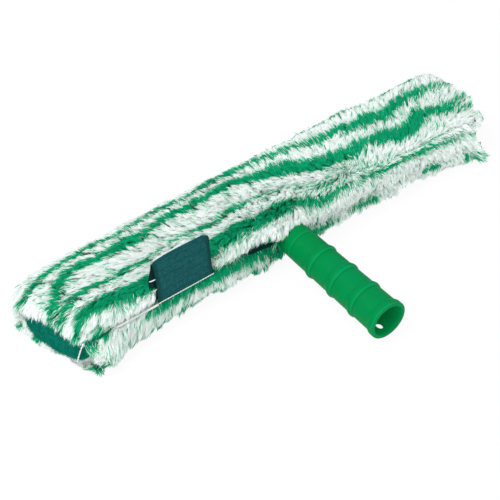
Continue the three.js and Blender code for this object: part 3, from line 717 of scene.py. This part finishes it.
def shader_group(name, inputs, outputs):
    """A group's tree, what it is given and what it gives. inputs and outputs map each name to its kind."""
    group = bpy.data.node_groups.new(name, "ShaderNodeTree")
    for way, sockets in (("INPUT", inputs), ("OUTPUT", outputs)):
        for label, kind in sockets.items():
            group.interface.new_socket(label, in_out=way, socket_type="NodeSocket" + kind)
    return group, group.nodes.new("NodeGroupInput").outputs, group.nodes.new("NodeGroupOutput").inputs


def surface(tree):
    """The inputs of a material's shader."""
    return tree.nodes["Principled BSDF"].inputs


def colour_source(tree):
    """What the shader's colour comes from."""
    return surface(tree)["Base Color"].links[0].from_socket


def node_material(name, values):
    """A material with its shader's inputs fed, and its tree."""
    material = bpy.data.materials.new(name)
    material.use_nodes = True
    tree = material.node_tree
    feed(tree, surface(tree), values)
    return material, tree


def group_material(name, group, given, values):
    """A material that takes what the group gives as its colour, roughness and normal."""
    material, tree = node_material(name, values)
    source = put(tree, "Group", given, node_tree=group)
    into = {"Colour": "Base Color", "Roughness": "Roughness", "Normal": "Normal"}
    for out in source.outputs:
        feed(tree, surface(tree), {into[out.name]: out})
    return material


def surface_mix(tree, share, second):
    """Mix the shader with a second one."""
    mix = put(tree, "MixShader", {0: share, 1: tree.nodes["Principled BSDF"], 2: second})
    feed(tree, tree.nodes["Material Output"].inputs, {"Surface": mix})


def strand_tint():
    """Colour of a strand: painted shade at its root, its own at the tip, and each strand a little different.
    """
    sockets = {"Root shade": "Color", "Tip": "Color", "Pale": "Color"}
    group, given, gives = shader_group("Strand tint", sockets, {"Colour": "Color"})
    own = blend(group, read_attribute(group, "tone"), given["Tip"], given["Pale"])
    rise = spread(group, read_attribute(group, "along"), 0.05, 0.62, way="SMOOTHSTEP")
    feed(group, gives, {"Colour": blend(group, rise, given["Root shade"], own)})
    return group


def grain_group():
    """Mottled tint, fine pits and faint scratches."""
    group, given, gives = shader_group(
        "Moulded grain",
        {"Base": "Color", "Worn": "Color", "Pitting": "Float", "Scratches": "Float"},
        {"Colour": "Color", "Roughness": "Float", "Normal": "Vector"},
    )
    place = own_place(group)
    broad = put(group, "TexNoise", {"Vector": place, "Scale": 38, "Detail": 4})
    fine = put(group, "TexNoise", {"Vector": place, "Scale": 1500})
    stretched = put(group, "Mapping", {"Vector": place, "Scale": (900, 60, 900)})
    lines = put(group, "TexNoise", {"Vector": stretched, "Scale": 1.0})
    scratch = calc(group, "MULTIPLY", spread(group, lines, 0.68, 0.74), given["Scratches"])
    wear = calc(group, "MULTIPLY_ADD", spread(group, broad, 0.42, 0.72), 0.55, scratch)
    feed(group, gives, {
        "Colour": blend(group, wear, given["Base"], given["Worn"]),
        "Roughness": spread(group, broad, 0.0, 1.0, 0.4, 0.56),
        "Normal": bump(group, calc(group, "SUBTRACT", fine, scratch), given["Pitting"], 0.0003),
    })
    return group


def weave_group():
    """Ribbon weave: fine ribs both ways and a mottled tint."""
    group, given, gives = shader_group(
        "Ribbon weave",
        {"Base": "Color", "Raised": "Color", "Rib": "Float"},
        {"Colour": "Color", "Normal": "Vector"},
    )
    place = own_place(group)
    ribs = {"Vector": place, "Scale": given["Rib"], "Distortion": 0.6}
    across = put(group, "TexWave", {**ribs, "Detail Scale": 2.0}, bands_direction="Z")
    along = put(group, "TexWave", ribs, bands_direction="X")
    crossing = calc(group, "MULTIPLY", across.outputs["Fac"], along.outputs["Fac"])
    mottle = put(group, "TexNoise", {"Vector": place, "Scale": 420, "Detail": 5})
    share = calc(group, "MULTIPLY_ADD", crossing, 0.55, spread(group, mottle, 0.35, 0.75, 0.0, 0.45))
    colour = blend(group, share, given["Base"], given["Raised"])
    feed(group, gives, {"Colour": colour, "Normal": bump(group, share, 0.7, 0.0002)})
    return group


def pad_group():
    """Non-woven pad: tangled fibres, and painted shade in the pits between them."""
    group, given, gives = shader_group(
        "Tangled fibres", {"Fibre": "Color", "Pit shade": "Color"}, {"Colour": "Color", "Normal": "Vector"}
    )
    place = own_place(group)
    noise = {"Vector": place, "Scale": 620, "Detail": 6, "Roughness": 0.75, "Distortion": 2.2}
    tangle = put(group, "TexNoise", noise)
    pits = put(group, "TexVoronoi", {"Vector": place, "Scale": 700}, feature="DISTANCE_TO_EDGE")
    edges, body = spread(group, pits, 0.0, 0.35, 1.0, 0.3), spread(group, tangle, 0.36, 0.6)
    mixed = calc(group, "MULTIPLY", edges, body)
    # the pits take the darker colour as painted shade
    colour = blend(group, mixed, given["Pit shade"], given["Fibre"])
    feed(group, gives, {"Colour": colour, "Normal": bump(group, mixed, 0.9, 0.0008)})
    return group


TINT, GRAIN, WEAVE, TANGLE = strand_tint(), grain_group(), weave_group(), pad_group()


def pile_material(name, root, tip, pale):
    """Fine fibres that let light through."""
    material = group_material(
        name, TINT, {"Root shade": root, "Tip": tip, "Pale": pale}, {"Roughness": 0.7, "Specular IOR Level": 0.06}
    )
    tree = material.node_tree
    surface_mix(tree, 0.58, put(tree, "BsdfTranslucent", {"Color": colour_source(tree)}))
    return material


def moulded(name, base, worn, pitting, scratches, specular, metal=0.0):
    given = {"Base": base, "Worn": worn, "Pitting": pitting, "Scratches": scratches}
    return group_material(name, GRAIN, given, {"Specular IOR Level": specular, "Metallic": metal})


def woven(name, base, raised, rib):
    given = {"Base": base, "Raised": raised, "Rib": rib}
    return group_material(name, WEAVE, given, {"Roughness": 0.85, "Specular IOR Level": 0.1})


def bed_material():
    """The matted bed under the strands, striped as they are."""
    material, tree = node_material("Pile bed", {"Roughness": 0.9})
    grain = put(tree, "TexNoise", {"Vector": own_place(tree), "Scale": 900})
    feed(tree, surface(tree), {
        "Base Color": blend(tree, read_attribute(tree, "dye"), srgb(246, 252, 249), srgb(0, 150, 106)),
        "Normal": bump(tree, grain, 0.8, 0.001),
    })
    return material


def along_steps(tree, axis, step, offset):
    """0 to 1 over each step along an axis of the piece."""
    axes = put(tree, "SeparateXYZ", {"Vector": own_place(tree)})
    return calc(tree, "FRACT", calc(tree, "MULTIPLY_ADD", axes.outputs[axis], 1 / step, offset))


def handle_material():
    """The handle's plastic, with a painted shade line in the groove beside each bead and a painted highlight
    line at its foot.
    """
    material = moulded("Handle plastic", srgb(0, 122, 62), srgb(0, 130, 78), 0.25, 0.25, 0.025)
    tree = material.node_tree
    colour = colour_source(tree)
    step, mouth = BEAD_STEP * MM, 0.1035
    # distance from the mouth, half width, strength and tint of each painted line, in metres: first the
    # painted shade in the groove, then the painted highlight
    for first, half, most, tint in (
        (0.0262, 0.0011, 0.4, srgb(0, 92, 48)),
        (0.0279, 0.0013, 0.42, srgb(4, 150, 88)),
    ):
        part = along_steps(tree, "Y", step, (mouth - first) / step + 4.5)
        away = calc(tree, "ABSOLUTE", calc(tree, "SUBTRACT", part, 0.5))
        line = spread(tree, away, half / step, 0.1 * half / step, 0.0, most, "SMOOTHSTEP")
        colour = blend(tree, line, colour, tint)
    feed(tree, surface(tree), {"Base Color": colour})
    return material


def label_material():
    """The ribbon's weave, with darker selvedges, painted shade on the fold and the rear layer, and a faint
    line across at even steps.
    """
    material = woven("Label ribbon", srgb(0, 66, 66), srgb(36, 100, 104), 900)
    tree = material.node_tree
    line = spread(tree, along_steps(tree, "Z", 0.0066, 0.3), 0.12, 0.06, 0.0, 0.55)
    darker = calc(tree, "MAXIMUM", line, read_attribute(tree, "shade"))
    # the dark colour paints shade on the fold and the rear layer through the shade attribute, and also
    # darkens the selvedges
    feed(tree, surface(tree), {"Base Color": blend(tree, darker, colour_source(tree), srgb(0, 44, 40))})
    return material


# the first colour of each pile is painted shade at the strands' roots
WHITE_PILE = pile_material("Pile white", srgb(248, 254, 251), srgb(250, 255, 253), srgb(254, 255, 255))
GREEN_PILE = pile_material("Pile green", srgb(0, 163, 121), srgb(6, 189, 139), srgb(38, 208, 160))
PILE_BED = bed_material()
HANDLE_PLASTIC = handle_material()
# the handle's plastic painted paler, as painted light for the inside of the socket
SOCKET_PAINTED_LIGHT = moulded("Socket plastic, painted lighter", srgb(0, 150, 78), srgb(0, 156, 92), 0.25, 0.25, 0.025)
BAR_PLASTIC = moulded("Bar plastic", srgb(14, 122, 74), srgb(30, 138, 90), 0.4, 0.5, 0.2)
STEEL = moulded("Zinc plated steel", srgb(176, 178, 180), srgb(140, 142, 144), 0.3, 0.6, 0.5, 1.0)
PAD = group_material(
    "Scouring pad", TANGLE, {"Fibre": srgb(0, 152, 130), "Pit shade": srgb(0, 92, 78)},
    {"Roughness": 0.95, "Specular IOR Level": 0.05},
)
# its first colour is painted shade at the fibres' roots
PAD_FIBRE = pile_material("Pad fibre", srgb(0, 104, 88), srgb(4, 146, 122), srgb(18, 168, 142))
LABEL = label_material()
TAPE = woven("Tape", srgb(4, 58, 56), srgb(20, 84, 82), 500)
# its first colour is painted shade at the fibres' roots
TAPE_FLUFF = pile_material("Tape fluff", srgb(6, 60, 56), srgb(14, 92, 88), srgb(40, 120, 114))
THREAD = woven("White thread", srgb(214, 224, 220), srgb(250, 252, 251), 1400)


# Sleeve

SLEEVE_NODES = ["pile_top", "pile_bottom", "pile_back", "front_pile_left", "front_pile_right", "closure_lip"]


def pile_bed():
    """The tube of matted pile under the strands, drawn in at the seam, the valley and the ends."""
    rows, columns = 231, 118
    uu, ss = np.meshgrid(np.linspace(-1, 1, rows), np.arange(columns) * ROUND / columns, indexing="ij")
    y = section(ss)[..., 0]
    x = SHIFT + uu * (end_reach(uu * 100, ss, y) - 2.0)
    at = from_start(ss, LOW_S)
    behind_flap, behind_label, dye_reach, lowest = 13.5, 2.8, 4.5, 0.0005
    inset = np.where(on_flap(x, at), behind_flap, BED + BED_DENT * dent(x, ss))
    outer = cloth_point(x, ss, inset)[0].reshape(-1, 3)
    press_back(outer, at.ravel(), behind_label)
    inner = cloth_point(x, ss, HALF_HEIGHT - HOLLOW_Z)[0].reshape(-1, 3)
    inner = np.clip(inner, [-np.inf, -HOLLOW_Y, -HOLLOW_Z], [np.inf, HOLLOW_Y, HOLLOW_Z])
    faces = np.array(grid_faces(rows, columns, True))
    middle_x, middle_s = x.ravel()[faces].mean(1), at.ravel()[faces].mean(1)
    hole = (middle_x**2 + middle_s**2 < (HANDLE_HOLE + 0.5) ** 2) & (np.abs(middle_s) < 30)
    shown = faces[~hole].tolist()
    count = rows * columns
    back = [[count + k for k in reversed(f)] for f in shown]
    rims = []
    for row, flip in ((0, True), (rows - 1, False)):
        for j in range(columns):
            a, b = row * columns + j, row * columns + (j + 1) % columns
            rims.append((a, count + a, count + b, b) if flip else (a, b, count + b, count + a))
    points = np.concatenate([outer, inner]) * MM + BAR
    points[:, 2] = np.maximum(points[:, 2], lowest)
    piece = simple_mesh("pile_bed", points, shown + back + rims)
    along, round_lean = lean(x, ss, y)
    dye = greenness(x + along * dye_reach, ss + round_lean * dye_reach).ravel()
    attribute(piece.data, "dye", np.concatenate([dye, dye * 0]))
    fit(piece, PILE_BED, "sleeve", "plush_pile", *SLEEVE_NODES)


pile_bed()
pile, fringe = grow_pile(PILE_COUNT, 21), grow_fringe(FRINGE_COUNT, 22)
pile = {key: np.concatenate([pile[key], fringe[key]]) for key in pile}
flap_strands = on_flap(pile["x"], pile["s"])


def pile_piece(name, chosen, material, body, *nodes):
    strands = [pile[key][chosen] for key in ("root", "middle", "tip", "facing", "width")]
    piece = strand_mesh(name, *shape_strands(*strands), LEVELS, pile["tone"][chosen])
    fit(piece, material, body, "plush_pile", *nodes)


# the strands are made up in stretches along the bar, and the flap's are its own
DYES = [
    ("white", WHITE_PILE, ~pile["green"], [-240, -125, 0, 110, 240]),
    ("green", GREEN_PILE, pile["green"], [-240, 0, 240]),
]
for colour, material, dyed, ends in DYES:
    for k, (first, last) in enumerate(zip(ends, ends[1:])):
        chosen = ~flap_strands & dyed & (pile["x"] >= first) & (pile["x"] < last)
        pile_piece(f"pile_{colour}_{k + 1}", chosen, material, "sleeve", *SLEEVE_NODES)
for colour, material, dyed, _ in DYES:
    pile_piece("flap_pile_" + colour, flap_strands & dyed, material, "flap", "closure_flap")


# Handle

def grip(d):
    """Outer radius of the grip at d from its mouth, with three beads round it and grooves beside each."""
    mouth, root = 16.5, 14.1
    radius = mouth - (mouth - root) / (ROOT_Y - MOUTH_Y) * d
    for bead in range(3):
        away = d - (BEAD_FIRST + BEAD_STEP * bead)
        radius = radius + 1.3 * band(away, -4.6, -0.8, -0.8, 4.8)
        for place, deep in ((-5.0, 0.28), (5.2, 0.22)):
            radius = radius - deep * np.exp(-(((away - place) / 0.6) ** 2))
    return radius


def handle_profile():
    """(radius, distance from the mouth) from the bottom of the bore round the collar and down the grip."""
    bore_mouth, bore_end, bore_deep = 14.2, 11.8, 125.3
    inner = [(0.01, 126.0), (11.2, 126.0), (11.6, 125.8), (bore_end, bore_deep)]
    for t in np.linspace(0.98, 0.02, 40):
        inner.append((bore_end + (bore_mouth - bore_end) * (1 - t), bore_deep * t + 0.8 * (1 - t)))
    inner += [(14.22, 0.75), (14.35, 0.35), (14.5, 0.1)]
    outer = [(14.5, 0.0), (15.0, 0.0), (16.4, 0.0)]
    outer += [(16.7 + 1.1 * math.sin(a), 1.1 - 1.1 * math.cos(a)) for a in np.linspace(0.15, math.pi / 2, 6)]
    outer += [(17.8, 3.3), (17.75, 5.0)]
    collar, collar_end = 17.6, 8.6
    for t in np.linspace(0.1, 0.95, 7):
        outer.append((collar - (collar - grip(collar_end)) * t * t * (3 - 2 * t), 5.4 + 3.2 * t))
    outer += [(grip(d), d) for d in np.arange(collar_end, 124.8, 0.6)]
    # a band at the root
    outer += [(grip(125) + 0.6 * t, 125 + 0.8 * t) for t in (0.0, 0.25, 0.75, 1.0)]
    outer += [(grip(d) + 0.6, d) for d in (128, 131, 134)]
    outer += [(grip(136) + 0.3, 135.6), (grip(136) - 0.4, 136.0), (0.01, 136.0)]
    return np.array(inner + outer)


def handle():
    """The ridged socket handle, its open mouth, and the tongue and key at its other end."""
    sides = 144
    profile = handle_profile()
    turn = np.arange(sides) * 2 * math.pi / sides
    x, z = profile[:, 0, None] * np.cos(turn), profile[:, 0, None] * np.sin(turn)
    y = np.broadcast_to(MOUTH_Y + profile[:, 1, None], x.shape)
    faces = [tuple(reversed(f)) for f in grid_faces(len(profile), sides, True)]
    tube = (np.stack([x, y, z], -1).reshape(-1, 3), faces)
    tongue = soft_box((-15, ROOT_Y - 1, -4.5), (15, 9, 4.5), 0.8)
    key = soft_box((-21, -15.5, -4.5), (21, -11.5, 4.5), 0.6)
    piece = join_parts("handle", [tube, tongue, key])

    # the lock hole through the lower wall, near the mouth
    steps, half_x, half_y, from_mouth = 40, 2.7, 3.7, 10.4
    ring = np.arange(steps) * 2 * math.pi / steps
    hole = [(half_x * math.cos(a), MOUTH_Y + from_mouth + half_y * math.sin(a)) for a in ring]
    points = [(px, py, pz) for pz in (-20.0, -8.0) for px, py in hole]
    cutter = join_parts("lock_hole", [(points, tube_faces(2, steps))])
    cut = piece.modifiers.new("lock hole", "BOOLEAN")
    cut.object = cutter
    cut.operation = "DIFFERENCE"
    cut.solver = "EXACT"
    mesh = bpy.data.meshes.new_from_object(piece.evaluated_get(bpy.context.evaluated_depsgraph_get()))
    piece.modifiers.clear()
    piece.data = mesh
    bpy.data.objects.remove(cutter)
    for polygon in mesh.polygons:
        polygon.use_smooth = True
    mesh.set_sharp_from_angle(angle=math.radians(35))
    mesh.materials.clear()
    fit(piece, HANDLE_PLASTIC, "t_bar", "handle_plastic", "handle_tube")
    # light comes through the thin wall, so the socket's inside is painted paler than its outside, as painted
    # light
    mesh.materials.append(SOCKET_PAINTED_LIGHT)
    for polygon in mesh.polygons:
        px, py, pz = (np.array(polygon.center) - BAR) / MM
        inside = math.hypot(px, pz) < 14.3 and MOUTH_Y + 1 < py < MOUTH_Y + 127
        polygon.material_index = 1 if inside else 0


handle()


# Scouring pads

# u along the left pad, then how far its lower edge hangs
PAD_SAG = [(-33.5, 1.5), (-30, 0.9), (-21, -3.2), (-4, -5.3), (14, -3.3), (31, 1), (33.5, 1.5)]
PAD_HIGH, PAD_THICK = 12.5, 6.0  # half its height, and its thickness


def pad(name, side, half, middle_y, tilt, sag):
    """A thick non-woven pad in the end plane, with loose fibres on it and the thread down its front edge."""
    r = np.random.default_rng(31 + side)
    crown, edge = 0.9, 2.2
    tilt, slope = math.radians(tilt), math.atan(SKEW)

    def place(u, v, w):
        """u runs forwards in the pad's face, v upwards, w outwards from its inner face."""
        high = (v + PAD_HIGH) / (2 * PAD_HIGH)
        vv = v * math.cos(tilt) - u * math.sin(tilt) + sag
        uu = u * math.cos(tilt) + v * math.sin(tilt)
        if side < 0:
            vv = vv + lerp_table(u, PAD_SAG) * (1 - high)
            uu = uu + (1.5 + 0.22 * v) * smooth(u, 8, 33)
            w = w - 0.02 * np.maximum(uu - 20, 0) ** 2
        end_x = HALF_LENGTH - SKEW * (BACK - middle_y)
        x = SHIFT + side * (end_x - (PAD_THICK - w) * math.cos(slope) - uu * math.sin(slope))
        y = middle_y - uu * math.cos(slope) + (PAD_THICK - w) * math.sin(slope)
        return np.stack([x, y, vv], -1)

    uu, vv = np.meshgrid(np.linspace(-1, 1, 96), np.linspace(-1, 1, 40), indexing="ij")
    # the rim is rounded over, and the outline's corners are cut back softly
    rim = np.clip(np.maximum(np.abs(uu) ** 9, np.abs(vv) ** 6), 0, 1)
    bulge = crown * (1 - uu**2) * (1 - vv**2)
    rough = 0.35 * ripple(uu * 33, vv * 12, 41, 7) + 0.25 * ripple(uu * 33, vv * 12, 42, 3)
    corner = np.clip((np.abs(uu) * 33.5 - 29.5) / 4, 0, 1) * np.clip((np.abs(vv) * PAD_HIGH - 8.5) / 4, 0, 1)
    face_u, face_v = uu * half * (1 - 0.035 * corner), vv * PAD_HIGH * (1 - 0.1 * corner**2)
    outer = place(face_u, face_v, PAD_THICK + bulge + rough - edge * rim**1.5)
    points, faces = slab(outer, place(face_u, face_v, 0 * uu + 0.4))
    if side < 0:
        faces = [tuple(reversed(f)) for f in faces]
    piece = join_parts("pad_" + name, [(points, faces)])
    fit(piece, PAD, "sleeve", "scour_pad", "scour_pad_" + name)

    # loose fibres on the face
    many = 5200
    fu, fv = r.uniform(-0.97, 0.97, many), r.uniform(-0.95, 0.95, many)
    turn = r.uniform(0, 2 * math.pi, many)
    long = r.uniform(0.8, 2.2, many)
    base = PAD_THICK + crown * (1 - fu**2) * (1 - fv**2)
    fu, fv = fu * half, fv * PAD_HIGH
    root = place(fu, fv, base - 0.35)
    tip = place(fu + np.cos(turn) * long, fv + np.sin(turn) * long, base + r.uniform(-0.3, 0.35, many))
    middle = (root + tip) / 2 + r.normal(scale=0.25, size=root.shape) + np.array([side * 0.5, 0, 0])
    facing = np.array([[side * 1.0, -0.18, 0.0]]) + r.normal(scale=0.3, size=root.shape)
    strands = shape_strands(root, middle, tip, facing, r.uniform(0.18, 0.34, many))
    fibres = strand_mesh("pad_fibres_" + name, *strands, 0.4 + 0.6 * LEVELS, r.uniform(size=many))
    fit(fibres, PAD_FIBRE, "sleeve", "scour_pad", "scour_pad_" + name)

    # the thread that sews the pad in, down its front edge
    first, step, stitch = 10.5, 3.9, 3.2
    stitches = []
    t = np.linspace(0, 1, 7)
    for k in range(6):
        high = first - step * k
        low = high - stitch
        run = high + (low - high) * t
        stitches.append(place(29.0 + 0.12 * run, run, PAD_THICK + 1.0 + 0.45 * np.sin(math.pi * t)))
    fit(threads("pad_thread_" + name, stitches, 0.55), THREAD, "sleeve", "stitch_thread", "scour_pad_" + name)


pad("left", -1, half=33.5, middle_y=-8.5, tilt=-4.0, sag=-2.0)
pad("right", 1, half=31.0, middle_y=-5.0, tilt=0.0, sag=0.0)


# Folded label

def label():
    """A ribbon folded double with both ends in the seam: front layer, fold and rear layer."""
    across, up = np.linspace(0, 1, 45), np.linspace(0, 1, 34)
    apart, thick = 1.6, 0.2  # half the space between the layers, and half the ribbon's thickness
    path = [("front", t) for t in up] + [("fold", t) for t in np.linspace(0.12, 0.88, 7)]
    path += [("rear", 1 - t) for t in up]
    rows = []
    for part, t in path:
        share = 1.0 if part == "fold" else t
        z = SEAM_Z + 0.2 + (LABEL_HIGH - 1.2) * share
        lean_y = LABEL_FOOT_Y + LABEL_LEAN * (z - SEAM_Z)
        x = LABEL_LEFT + LABEL_WIDE * across
        sweep = -1.4 * math.sin(math.pi * share) * (across - 0.5)
        if part == "front":
            off = -apart - 0.5 * math.sin(math.pi * t)
        elif part == "rear":
            off = apart + 0.3 * math.sin(math.pi * t)
            x = x - 4.6 * (1 - across) * smooth(share, 1.0, 0.55) * 0.9
            sweep = 0
        else:
            off = -apart * math.cos(math.pi * t)
            z += 1.3 * math.sin(math.pi * t)
        wave = 0.5 * np.sin(across * 5.2 + 0.6) * share
        corner = 2.6 * smooth(across, 0.86, 1.0) ** 2 * share + 1.2 * smooth(across, 0.1, 0.0) * share
        dip = 1.5 * (across - 0.62) ** 2 * share * 4
        rows.append(np.stack([x + sweep, lean_y + off + wave, z - corner - dip], -1))
    sheet = np.array(rows)
    normal = np.cross(np.gradient(sheet, axis=0), np.gradient(sheet, axis=1))
    normal /= np.linalg.norm(normal, axis=-1, keepdims=True)
    piece = join_parts("label", [slab(sheet + normal * thick, sheet - normal * thick)])
    selvedge = np.maximum(smooth(across, 0.075, 0.055), smooth(across, 0.925, 0.945)) * 0.6
    # the fold and the rear layer are darkened as painted shade, the rear layer most
    parts = np.array([{"front": 0.0, "fold": 0.35, "rear": 0.85}[part] for part, _ in path])
    attribute(piece.data, "shade", np.tile(np.maximum(selvedge[None, :], parts[:, None]).ravel(), 2))
    fit(piece, LABEL, "label", "label_cloth", "care_label")

    # foot stitches across the label, and two ties on the edge of the rear layer
    step, gap, foot_y, foot_z = 2.5, 0.5, -41.3, 10.2
    stitches = []
    t = np.linspace(0, 1, 6)
    for k in range(int(LABEL_WIDE / step)):
        x = LABEL_LEFT + 0.6 + step * k + (step - gap) * t
        stitches.append(np.stack([x, foot_y - 0.4 * np.sin(math.pi * t), foot_z + 0 * t], -1))
    for z in (21.5, 32.0):
        y = -36.6 + LABEL_LEAN * (z - 20) - 1.4 * t - 0.3 * np.sin(math.pi * t)
        stitches.append(np.stack([LABEL_LEFT - 4.0 + 5.4 * t, y, z + 0.9 * t], -1))
    fit(threads("label_thread", stitches, 0.4), THREAD, "label", "stitch_thread", "care_label")


label()


# Overlocked edge of the front seam

def stitched_edge():
    """Two threads wound round a core, from the left end to the label."""
    left_x, right_x, y, z = -180.0, -139.1, -42.1, 10.1
    turns, steps = 26, 400
    x = left_x + (right_x - left_x) * np.linspace(0, 1, steps)
    a = 2 * math.pi * turns * np.linspace(0, 1, steps)
    wound = [
        np.stack([x + 0.5 * np.sin(a + off), y + wide * np.cos(a + off), z + high * np.sin(a + off)], -1)
        for off, wide, high in ((0, 0.78, 0.72), (2.2, 0.7, 0.66))
    ]
    x = x[::8]
    core = np.stack([x, y + 0 * x, z + 0.08 * np.sin(x)], -1)
    for name, paths, radius, sides in (("thread", wound, 0.27, 7), ("core", [core], 0.62, 10)):
        piece = threads("stitched_edge_" + name, paths, radius, sides)
        fit(piece, THREAD, "sleeve", "stitch_thread", "stitched_edge")


stitched_edge()


# Closure: the flap's own bed, and the hook and loop tapes

def flap_bed():
    """The matted pile of the flap."""
    xx, tt = np.meshgrid(np.linspace(*CLOSURE, 60), np.linspace(0, 1, 14), indexing="ij")
    seam = lerp_table(xx, SEAM)
    ss = seam + 0.4 + (FLAP_TOP_S - 0.2 - seam) * tt
    outer = cloth_point(xx, ss, 7.2 + 0.3 * dent(xx, ss))[0]
    inner = outer + np.array([0, 2.0, 0])
    inner[..., 1] = np.minimum(inner[..., 1], -34.75 + np.clip(inner[..., 2] - 8, 0, 20) * 0.5)
    piece = join_parts("flap_bed", [slab(outer, inner)])
    dye = (greenness(xx - 2, ss - 4) * smooth(tt, 0.0, 0.12)).ravel()
    attribute(piece.data, "dye", np.concatenate([dye, dye * 0]))
    fit(piece, PILE_BED, "flap", "plush_pile", "closure_flap")


def fluff(r, name, root, tip, middle, width, along, tone, body, node):
    """Short fibres, facing every way."""
    strands = shape_strands(root, middle, tip, r.normal(size=root.shape), np.full(len(root), width))
    piece = strand_mesh(name, *strands, along, r.uniform(size=len(root)) * tone)
    fit(piece, TAPE_FLUFF, body, "dark_tape", node)


def tape(name, node, near_y, low_z, body, face, seed):
    """A strip of hook or loop tape with its pile on the side at face."""
    r = np.random.default_rng(seed)
    left_x, right_x, high_z, thick = CLOSURE[0] + 2, CLOSURE[1] - 2, 8.7, 0.9
    piece = join_parts(name, [soft_box((left_x, near_y, low_z), (right_x, near_y + thick, high_z), 0.3)])
    fit(piece, TAPE, body, "dark_tape", node)
    many, edge = 4200, 0.6
    x = r.uniform(left_x + edge, right_x - edge, many)
    z = r.uniform(low_z + edge, high_z - edge, many)
    root = np.stack([x, np.full(many, near_y + (thick if face > 0 else 0.0)), z], -1)
    go_x, go_y = r.normal(scale=0.5, size=many), face * r.uniform(0.1, 0.5, many)
    tip = root + np.stack([go_x, go_y, r.normal(scale=0.5, size=many)], -1)
    middle = (root + tip) / 2 + np.array([0, face * 0.5, 0])
    fluff(r, name + "_fluff", root, tip, middle, 0.16, 0.3 + 0.7 * LEVELS, 1.0, body, node)


def tape_lip():
    """The upper edge of the hook tape, folded forwards over the lip where the flap does not cover it."""
    r = np.random.default_rng(61)
    left_x, right_x = -50, -19
    xx, tt = np.meshgrid(np.linspace(left_x, right_x, 50), np.linspace(0, 1, 12), indexing="ij")
    ends = band(xx, left_x, -45, -23, right_x)
    ss = lerp_table(xx, SEAM) + 0.6 + (TAPE_FOLD * tt - 0.4) * (0.4 + 0.6 * ends)
    inset = 3.4 + TAPE_FALL * tt**0.8 + 0.5 * ripple(xx, ss, 71, 9) + 3.0 * (1 - ends)
    outer = cloth_point(xx, ss, inset)[0]
    piece = join_parts("tape_lip", [slab(outer, outer + np.array([0, 0.4, -0.8]))])
    fit(piece, TAPE, "sleeve", "dark_tape", "hook_tape")
    many = 2600
    i, j = r.integers(0, xx.shape[0], many), r.integers(0, xx.shape[1], many)
    root = outer[i, j] + r.normal(scale=0.3, size=(many, 3))
    tip = root + np.array([0, -0.8, 0.8]) + r.normal(scale=0.7, size=(many, 3))
    middle = (root + tip) / 2 + 0.3
    fluff(r, "tape_lip_fluff", root, tip, middle, 0.22, 0.2 + 0.6 * LEVELS, 0.7, "sleeve", "hook_tape")


flap_bed()
tape_lip()
tape("loop_strip", "loop_tape", -34.3, -1.3, "flap", 1, 51)
tape("hook_strip", "hook_tape", -33.1, -2.3, "sleeve", -1, 52)

# The bar and its screws show as they are in the CAD
FINISH = {"bar_plastic": BAR_PLASTIC, "screw_steel": STEEL}
for row in frame["record"]["subparts"]:
    if row["material_slot"] in FINISH:
        node = frame["nodes"][row["node"]]
        node.data.materials.clear()
        node.data.materials.append(FINISH[row["material_slot"]])


# Floor, light and camera

def floor():
    """A wide pale floor, white to the camera, that keeps the object's shadow."""
    size = 4.0
    corners = [(-size, -size, 0), (size, -size, 0), (size, size, 0), (-size, size, 0)]
    piece = simple_mesh("floor", corners, [(0, 1, 2, 3)])
    material, tree = node_material("Pale floor", {"Base Color": (0.92, 0.92, 0.92, 1), "Roughness": 0.9})
    path = put(tree, "LightPath").outputs
    shiny = calc(tree, "MAXIMUM", path["Is Glossy Ray"], path["Is Transmission Ray"])
    seen = calc(tree, "MAXIMUM", path["Is Camera Ray"], shiny)
    white = put(tree, "Emission", {"Color": (1, 1, 1, 1), "Strength": 1.0})
    surface_mix(tree, calc(tree, "MULTIPLY", seen, 0.92), white)
    piece.data.materials.append(material)


def place_item(name, data, place, towards):
    """Put a lamp or the camera at place, looking towards a direction."""
    item = bpy.data.objects.new(name, data)
    item.location = place
    item.rotation_mode = "QUATERNION"
    item.rotation_quaternion = towards.to_track_quat("-Z", "Y")
    bpy.context.scene.collection.objects.link(item)
    return item


def area_light(name, place, target, size, power):
    data = bpy.data.lights.new(name, "AREA")
    data.shape = "DISK"
    data.size = size
    data.energy = power
    place_item(name, data, place, Vector(target) - Vector(place))


def camera():
    azimuth, elevation, distance = math.radians(-38.06), math.radians(44.73), 1.6
    target = Vector((-0.0365, 0.0281, 0.0245))
    level = math.cos(elevation)
    back = Vector((math.sin(azimuth) * level, -math.cos(azimuth) * level, math.sin(elevation)))
    data = bpy.data.cameras.new("camera")
    data.sensor_width = 36
    pixels, photo = 1.2078, 500  # pixels to a millimetre at the target, and the photograph's width in pixels
    data.lens = data.sensor_width * pixels * (distance / MM) / photo
    bpy.context.scene.camera = place_item("camera", data, target + back * distance, -back)


floor()
area_light("key", (-0.7, 0.1, 1.25), (-0.14, 0, 0), 0.8, 14)
area_light("fill", (-1.2, -0.8, 0.8), (-0.1, 0, 0), 1.3, 4)
area_light("front", (0.45, -1.35, 0.55), (0.1, 0, 0), 1.2, 5)
world = bpy.data.worlds.new("Studio")
bpy.context.scene.world = world
world.use_nodes = True
world.node_tree.nodes["Background"].inputs["Color"].default_value = (1, 1, 1, 1)
world.node_tree.nodes["Background"].inputs["Strength"].default_value = 0.72
bpy.context.scene.view_settings.view_transform = "Standard"
camera()
